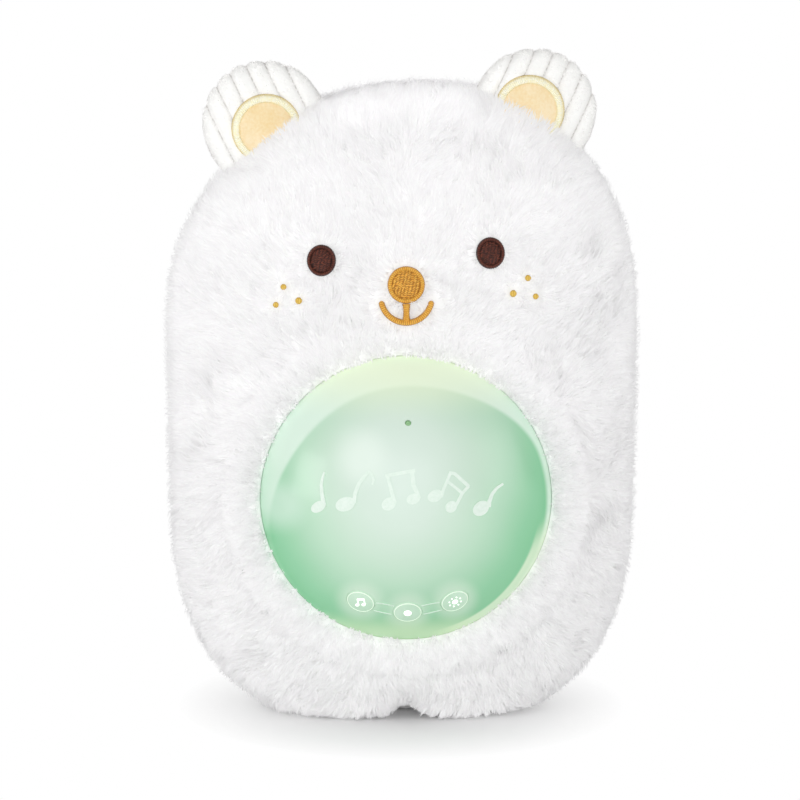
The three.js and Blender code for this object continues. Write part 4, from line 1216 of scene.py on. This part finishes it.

# %% [markdown]
# Milky polycarbonate glows where the light sources sit behind it, a little
# above the middle, and grows deeper in colour away from them. That glow is
# painted into the base colour as well as the emission. The moulded rim catches
# the light again, as a painted paler band. The pattern reads millimetres from
# the middle of the dome, so it stays put when the toy turns. Over the glow lie
# layers of painted light and reflection, each a colour whose share steps up or
# down with a place on the dome.

# %% Milky polycarbonate
milky = start_material(
    "milky_mint_polycarbonate", "#C5E4CB", Roughness=0.3, Coat_Weight=0.35, Coat_Roughness=0.12,
    Emission_Strength=0.12,
)
source = add_node(milky, "TexCoord").outputs["Object"]


def radius_from(x, z, stretch=1.0):
    """Millimetres from the line along Y through x, z, measured from the dome's middle."""
    centred = add_node(milky, "Mapping", {
        "Vector": source,
        "Location": (-(x * MM * stretch), 0, -(dome_centre.z + z * MM)),
        "Scale": (stretch, 0, 1),
    })
    far = add_node(milky, "VectorMath", {0: centred.outputs[0]}, operation="LENGTH")
    per_mm = {0: far.outputs["Value"], 1: 1 / MM}
    return add_node(milky, "Math", per_mm, operation="MULTIPLY").outputs[0]


def layered(below, colour, value, start, end, high, low=0.0, within=None):
    """Lays a colour over a tone, with shares from low to high as the value goes from start to end."""
    share = add_node(milky, "MapRange", {
        "Value": value, "From Min": start, "From Max": end, "To Min": low, "To Max": high,
    }, interpolation_type="SMOOTHSTEP").outputs[0]
    if within is not None:
        share = add_node(milky, "Math", {0: within, 1: share}, operation="MULTIPLY").outputs[0]
    return add_node(milky, "MixRGB", {0: share, 1: below, 2: srgb(colour)}).outputs[0]


# Painted glow: the base colour and the emission are palest near the light sources and deeper green further
# out
glow_reach, cloud_size, cloud_drift = 90, 34, 8.0
clouds = add_node(milky, "TexNoise", {"Vector": source, "Scale": 1 / (cloud_size * MM), "Detail": 1.0})
drift = add_node(milky, "Math", {
    0: clouds.outputs[0], 1: cloud_drift, 2: radius_from(-3, 15.5, 1.15),
}, operation="MULTIPLY_ADD")
reach = add_node(milky, "Math", {0: drift.outputs[0], 1: 1 / glow_reach}, operation="MULTIPLY")
lens_tone_and_light = add_node(milky, "ValToRGB", {0: reach.outputs[0]}, stops=[
    (0.11, "#D4E3D9"), (0.28, "#CEE0D3"), (0.41, "#C3DCC9"), (0.54, "#B5D8BE"),
    (0.61, "#A9D3B5"), (0.68, "#98CEA8"), (0.74, "#88C99D"), (0.81, "#7BC593"),
]).outputs[0]

# Painted highlights: the reflections of the lamp at the upper left and of the one at the left side, and the
# glow round the three buttons
painted_light_spots = [(-18, 22, 15, 3, 0.45, "#E8F2EA"), (-51, 0, 14, 3, 0.45, "#DDEDE3")]
painted_light_spots += [(x, z, 12, 4.5, 0.5, "#DDEBDB") for x, z in ((-18.7, -37.5), (0, -41.9), (18.7, -37.5))]
for x, z, start, end, high, colour in painted_light_spots:
    lens_tone_and_light = layered(lens_tone_and_light, colour, radius_from(x, z), start, end, high)

# The paler band of painted reflection on the moulded rim is widest at the top,
# thin at the foot and lost at the lower left, and along the lower right the
# skirt carries painted light from the lamps inside
parts = add_node(milky, "SeparateXYZ", {0: source})
height, side = parts.outputs["Z"], parts.outputs["X"]
middle_height = dome_centre.z
rim_distance = radius_from(0, 0)
lift = add_node(milky, "Math", {0: height, 1: middle_height}, operation="SUBTRACT").outputs[0]
upper_left, upper_right = (
    add_node(milky, "Math", {0: one, 1: share, 2: other}, operation="MULTIPLY_ADD").outputs[0]
    for one, share, other in ((side, -0.35, height), (lift, 1.6, side))
)
lower_right = add_node(milky, "Math", {0: side, 1: lift}, operation="SUBTRACT").outputs[0]
rim_light_from = add_node(milky, "MapRange", {
    "Value": upper_left, "From Min": middle_height, "From Max": middle_height + 52 * MM,
    "To Min": 55.0, "To Max": 47.0,
}, interpolation_type="SMOOTHSTEP").outputs[0]
into_rim_light = add_node(milky, "Math", {0: rim_distance, 1: rim_light_from}, operation="SUBTRACT").outputs[0]
in_rim_light, in_skirt_light = (
    add_node(milky, "MapRange", {
        "Value": value, "From Min": start, "From Max": end,
    }, interpolation_type="SMOOTHSTEP").outputs[0]
    for value, start, end in ((into_rim_light, 0.0, 2.0), (rim_distance, 52.2, 53.4))
)
lens_tone_and_light = layered(lens_tone_and_light, "#DDF0E2", upper_right, -90 * MM, -12 * MM, 0.85, 0.12, in_rim_light)
lens_tone_and_light = layered(lens_tone_and_light, "#DDF0D2", lower_right, 60 * MM, 72 * MM, 0.8, within=in_skirt_light)

# Painted light: a warm paler top and a lime glow at the foot
for colour, start, end, high in (("#EBF5D2", 34, 54, 0.65), ("#CFEBBE", -42, -53, 0.7)):
    lens_tone_and_light = layered(lens_tone_and_light, colour, lift, start * MM, end * MM, high)
dress(milky, lens_tone_and_light)
milky.node_tree.links.new(lens_tone_and_light, milky.node_tree.nodes["Principled BSDF"].inputs["Emission Color"])
lens.name = "mint_dome"
finish_piece(lens, milky, "toy", ["dome_lens"], "lens")
lens.data.set_sharp_from_angle(angle=math.radians(32))

# %% [markdown]
# Five music notes stand on the dome as thin raised shapes. Each one is drawn
# flat, in millimetres across the dome, with strips for stems and beams and
# rounds for heads. Then every point is lifted on to the sphere.

# %% Strips and rounds on the dome
def lifted(form, height):
    """Flat faces drawn in X and Y become thin raised shapes on the dome."""
    flat = bmesh.ops.extrude_face_region(form, geom=form.faces[:])
    top = {v for v in flat["geom"] if isinstance(v, bmesh.types.BMVert)}
    for v in form.verts:
        x, y = v.co.x / MM, v.co.y / MM
        level = height if v in top else -0.3
        out = math.sqrt(sphere_radius ** 2 - x * x - y * y)
        v.co = Vector((x, y, out)) * ((sphere_radius + level) / sphere_radius) * MM
        v.co.z += sphere_centre * MM
    bmesh.ops.recalc_face_normals(form, faces=form.faces)
    return place_form(form, module_frame)


def strip(points, start, end=None):
    """A band along a line through the points, its width running from start to end."""
    form = bmesh.new()
    pairs = []
    last = len(points) - 1
    for i, (x, y) in enumerate(points):
        before, after = points[max(0, i - 1)], points[min(last, i + 1)]
        along = Vector((after[0] - before[0], after[1] - before[1], 0)).normalized()
        width = start + ((start if end is None else end) - start) * i / last
        across = Vector((-along.y, along.x, 0)) * width / 2
        middle = Vector((x, y, 0))
        pairs.append([form.verts.new((middle + across) * MM), form.verts.new((middle - across) * MM)])
    for (a, b), (c, d) in zip(pairs, pairs[1:]):
        form.faces.new((a, b, d, c))
    return form


def bend(start, middle, end, steps=10):
    """Points of a smooth curve from start to end, drawn towards middle."""
    result = []
    for i in range(steps + 1):
        t = i / steps
        result.append(tuple(
            (1 - t) ** 2 * start[k] + 2 * t * (1 - t) * middle[k] + t * t * end[k] for k in (0, 1)
        ))
    return result


def round_head(x, y, length, width, lean=0):
    form = bmesh.new()
    bmesh.ops.create_circle(form, cap_ends=True, segments=28, radius=0.5)
    bmesh.ops.scale(form, verts=form.verts, vec=Vector((length, width, 1)) * MM)
    bmesh.ops.rotate(form, verts=form.verts, matrix=Matrix.Rotation(math.radians(lean), 3, "Z"))
    bmesh.ops.translate(form, verts=form.verts, vec=Vector((x, y, 0)) * MM)
    return form


# %% [markdown]
# The notes are frosted plastic, only a shade paler than the milky dome.

# %% Notes
frosted = start_material(
    "frosted_polycarbonate", "#DAE9DE", Roughness=0.5, Emission_Color="#DDEBE1", Emission_Strength=0.12,
)
dress(frosted, mottled(frosted, 1.2, 3.0, [(0.3, "#D7E7DB"), (0.7, "#E2EEE5")])[1])
note_height = 0.4

notes = {
    "quarter_note": [
        round_head(-35.3, 1.8, 6.6, 3.9, 38),
        strip([(-33.2, 2.6), (-34.0, 7.4), (-34.2, 10.5), (-33.7, 13.1), (-32.9, 15.6)], 1.7, 0.7),
    ],
    "eighth_note": [
        round_head(-24.9, 3.7, 7.9, 5.4, 25),
        strip([(-21.5, 4.4), (-21.1, 8.0), (-19.6, 12.0), (-17.5, 14.8), (-15.4, 17.1)], 1.6, 1.1),
        strip([(-15.7, 17.0), (-14.3, 15.6), (-13.8, 13.7), (-14.4, 11.8)], 1.2, 0.7),
    ],
    "beamed_pair": [
        round_head(-7.9, 4.5, 6.0, 4.8, 35),
        round_head(1.7, 6.5, 5.5, 4.1, 20),
        strip([(-5.6, 5.0), (-6.6, 8.5), (-7.5, 11.9), (-8.4, 15.6)], 1.5, 1.2),
        strip([(1.2, 17.3), (1.8, 11.9), (3.0, 9.3), (3.9, 6.6)], 1.7, 1.6),
        strip([(-9.2, 15.4), (2.5, 17.5)], 1.3),
    ],
    "double_beamed_pair": [
        round_head(10.3, 7.5, 6.1, 4.6, 25),
        round_head(16.7, 2.9, 4.9, 4.3, 50),
        strip([(12.8, 6.9), (13.6, 9.9), (15.0, 12.8), (16.3, 15.9)], 1.2, 1.1),
        strip([(23.7, 10.6), (21.2, 8.1), (19.8, 5.6), (18.6, 3.4)], 1.2),
        strip([(15.9, 16.2), (18.1, 15.7), (23.8, 10.4)], 1.3),
        strip([(15.3, 12.9), (20.8, 8.3)], 1.1),
    ],
    "curved_note": [
        round_head(28.6, 1.4, 6.8, 5.6, 35),
        strip([(31.6, 1.6), (31.9, 3.7), (33.1, 6.7), (35.1, 8.8), (37.6, 10.1)], 1.9, 0.9),
    ],
}
# Two fine lines join each side button to the one in the middle
link_lines = (
    ((12.6, -37.6), (9.4, -37.8), (5.4, -38.9)),
    ((13.4, -41.2), (10.4, -42.0), (6.3, -42.8)),
)
notes["button_link_lines"] = [
    strip(bend(*((x * side, y) for x, y in line)), 0.12, 0.1)
    for line in link_lines for side in (-1, 1)
]
for name, forms in notes.items():
    whole = merged([lifted(form, note_height) for form in forms])
    add_piece(name, whole, frosted, "toy", slot="lens", smooth=False)

# %% [markdown]
# ## Buttons
# Each button is a small cap of the same milky plastic that sinks into the
# dome. Its edge and its sign are lit, so they are pieces that glow by
# themselves, in a plain warm white. The glow of the edge ring is partly a
# painted highlight along the cap's rim.

# %% Button plastics
cap_plastic = start_material(
    "milky_button_polycarbonate", "#BFD8C4", Roughness=0.28,
    Emission_Color="#D9F2DC", Emission_Strength=0.18,
)
dress(cap_plastic, mottled(cap_plastic, 9, 1.0, [(0.3, "#AFD0B6"), (0.7, "#C0DAC5")])[1])
lit = start_material(
    "lit_clear_polycarbonate", "#FFFFFF", Roughness=0.3,
    Emission_Color="#F6FFF2", Emission_Strength=0.75,
)
# The edge ring glows, and its glow is partly a painted highlight along the cap's rim
edge_glow_and_highlight = start_material(
    "edge_lit_polycarbonate", "#E4F4E2", Roughness=0.3,
    Emission_Color="#F1FAEC", Emission_Strength=0.3,
)

# %% Button caps
cap_radius, cap_flange, fit_gap = 5.75, 7.2, 0.3
inner_drop = inner_radius - math.sqrt(inner_radius ** 2 - cap_flange ** 2)
flange_top = -lens_wall - inner_drop - fit_gap
flange_under, stem_radius, stem_foot = flange_top - 1.2, 2, flange_top - 5.7
cap_profile = [
    (0, 0.5), (1.4, 0.49), (2.9, 0.44), (4.2, 0.33), (5.1, 0.2), (5.55, 0.02), (cap_radius, -0.35),
    (cap_radius, flange_top), (cap_flange, flange_top), (cap_flange, flange_under),
    (stem_radius, flange_under), (stem_radius, stem_foot), (0, stem_foot),
]
lit_ring = [(5.2, 0.12), (5.2, 0.27), (5.3, 0.32), (5.42, 0.24), (5.45, 0.0), (5.2, 0.12)]


def flat_sign(forms, height=0.62, foot=0.2):
    """Signs are drawn flat, then given a little height above the cap."""
    whole = merged(forms)
    raised = bmesh.ops.extrude_face_region(whole, geom=whole.faces[:])
    top = [v for v in raised["geom"] if isinstance(v, bmesh.types.BMVert)]
    bmesh.ops.translate(whole, verts=whole.verts, vec=(0, 0, foot * MM))
    bmesh.ops.translate(whole, verts=top, vec=(0, 0, (height - foot) * MM))
    bmesh.ops.recalc_face_normals(whole, faces=whole.faces)
    return whole


signs = {
    "music": [
        round_head(-1.5, -1.5, 1.7, 1.3, 20), round_head(1.2, -1.1, 1.7, 1.3, 20),
        strip([(-0.85, -1.4), (-0.85, 1.7)], 0.42), strip([(1.85, -1.0), (1.85, 2.0)], 0.42),
        strip([(-1.05, 1.6), (2.05, 1.9)], 0.75),
    ],
    "centre": [round_head(0, 0, 3.1, 3.1)],
    "brightness": [round_head(0, 0, 2.4, 2.4)] + [
        round_head(2.5 * math.cos(turn), 2.5 * math.sin(turn), 0.62, 0.62)
        for turn in (math.radians(45 * i) for i in range(8))
    ],
}
for name, frame_here in zip(button_names, button_frames):
    body = f"{name}_button"
    cap_form, ring_form = (
        place_form(turned(line, 56), frame_here) for line in (cap_profile, lit_ring)
    )
    cap = add_piece(f"{name}_cap", cap_form, cap_plastic, body, [body], "button")
    cap.data.set_sharp_from_angle(angle=math.radians(40))
    add_piece(f"{name}_edge_glow_and_highlight", ring_form, edge_glow_and_highlight, body, slot="button")
    sign = place_form(flat_sign(signs[name]), frame_here)
    add_piece(f"{name}_sign", sign, lit, body, slot="button", smooth=False)

# %% [markdown]
# ## Module and battery box
# These solids keep their CAD shape, because moulded and stamped parts are
# drawn exactly there. They only need their real finishes.

# %% Finishes of the hard parts
def speckled(name, light, dark, grain, bump, roughness, **sockets):
    """A base finish with a fine mottle and a slight texture, grain in millimetres."""
    material = start_material(name, light, Roughness=roughness, **sockets)
    fine, tone = mottled(material, grain, 4.0, [(0.35, dark), (0.65, light)])
    dress(material, tone, fine, 0.35, bump)
    return material


def refinish(names, material):
    for name in names:
        for slot in nodes[name].material_slots:
            slot.material = material


finishes = {
    # Moulded ABS: spark-eroded moulds leave a fine matt grain
    ("rear_housing", "battery_door", "key_carrier", "fabric_clamp_ring"):
        speckled("moulded_white_abs", "#F1F1EE", "#E9E9E6", 1.2, 0.08, 0.5),
    # Opal polycarbonate spreads the light of the small lamps
    ("light_diffuser",): speckled("opal_polycarbonate", "#F7F7F2", "#F1F1EA", 4, 0.02, 0.35),
    # Zinc-plated steel is bright, with faint blue clouds
    ("battery_door_screw", "housing_screw_1", "housing_screw_2", "housing_screw_3", "housing_screw_4",
     "speaker_basket", "speaker_magnet", "microphone"):
        speckled("zinc_plated_steel", "#C4C7CB", "#A9AEB5", 2.5, 0.03, 0.32, Metallic=1.0),
    ("contact_plus", "contact_minus"):
        speckled("nickel_plated_spring_steel", "#D3D1CA", "#BDBBB4", 2, 0.02, 0.25, Metallic=1.0),
    # Glass-fibre board under green solder resist
    ("main_board", "led_board"): speckled("green_solder_resist", "#1F6B43", "#17583A", 1.6, 0.05, 0.35),
    ("key_switch_1", "key_switch_2", "key_switch_3", "power_switch_body", "power_switch_slider"):
        speckled("black_nylon", "#232325", "#1A1A1C", 0.8, 0.04, 0.45),
    ("led_1", "led_2", "led_3", "led_4"): speckled("yellow_lamp_epoxy", "#FBF0BE", "#F2E29C", 1, 0.02, 0.25),
    ("speaker_cone",): speckled("pressed_black_paper", "#2E2E30", "#222224", 0.7, 0.1, 0.9),
    # Hook and loop tape: a dense field of nylon hooks and loops, 0.8 mm apart
    ("hook_strip", "loop_strip"): speckled("white_nylon_hook_tape", "#F0F0EE", "#D6D6D3", 0.8, 0.5, 0.8),
}
for names, material in finishes.items():
    refinish(names, material)

# %% [markdown]
# The cells have a shrunk plastic sleeve with a band of another colour at the
# positive end. The band is placed by height, which is the same on all three.

# %% Battery sleeves
sleeve = start_material("shrunk_pvc_sleeve", "#35619B", Roughness=0.28)
cell_names = [f"battery_cell_{i}" for i in (1, 2, 3)]
cell_top, cell_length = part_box(cell_names[0])[1][2], 50 * MM
parts = add_node(sleeve, "SeparateXYZ", {0: add_node(sleeve, "TexCoord").outputs["Object"]})
level = add_node(sleeve, "MapRange", {
    "Value": parts.outputs["Z"], "From Min": cell_top - cell_length, "From Max": cell_top,
})
band = add_node(sleeve, "ValToRGB", {0: level.outputs[0]}, stops=[
    (0.0, "#2D558C"), (0.7, "#3A69A6"), (0.71, "#D9A441"), (0.975, "#D9A441"), (0.98, "#C9CCD0"),
])
band.color_ramp.interpolation = "CONSTANT"
dress(sleeve, band.outputs[0])
refinish(cell_names, sleeve)
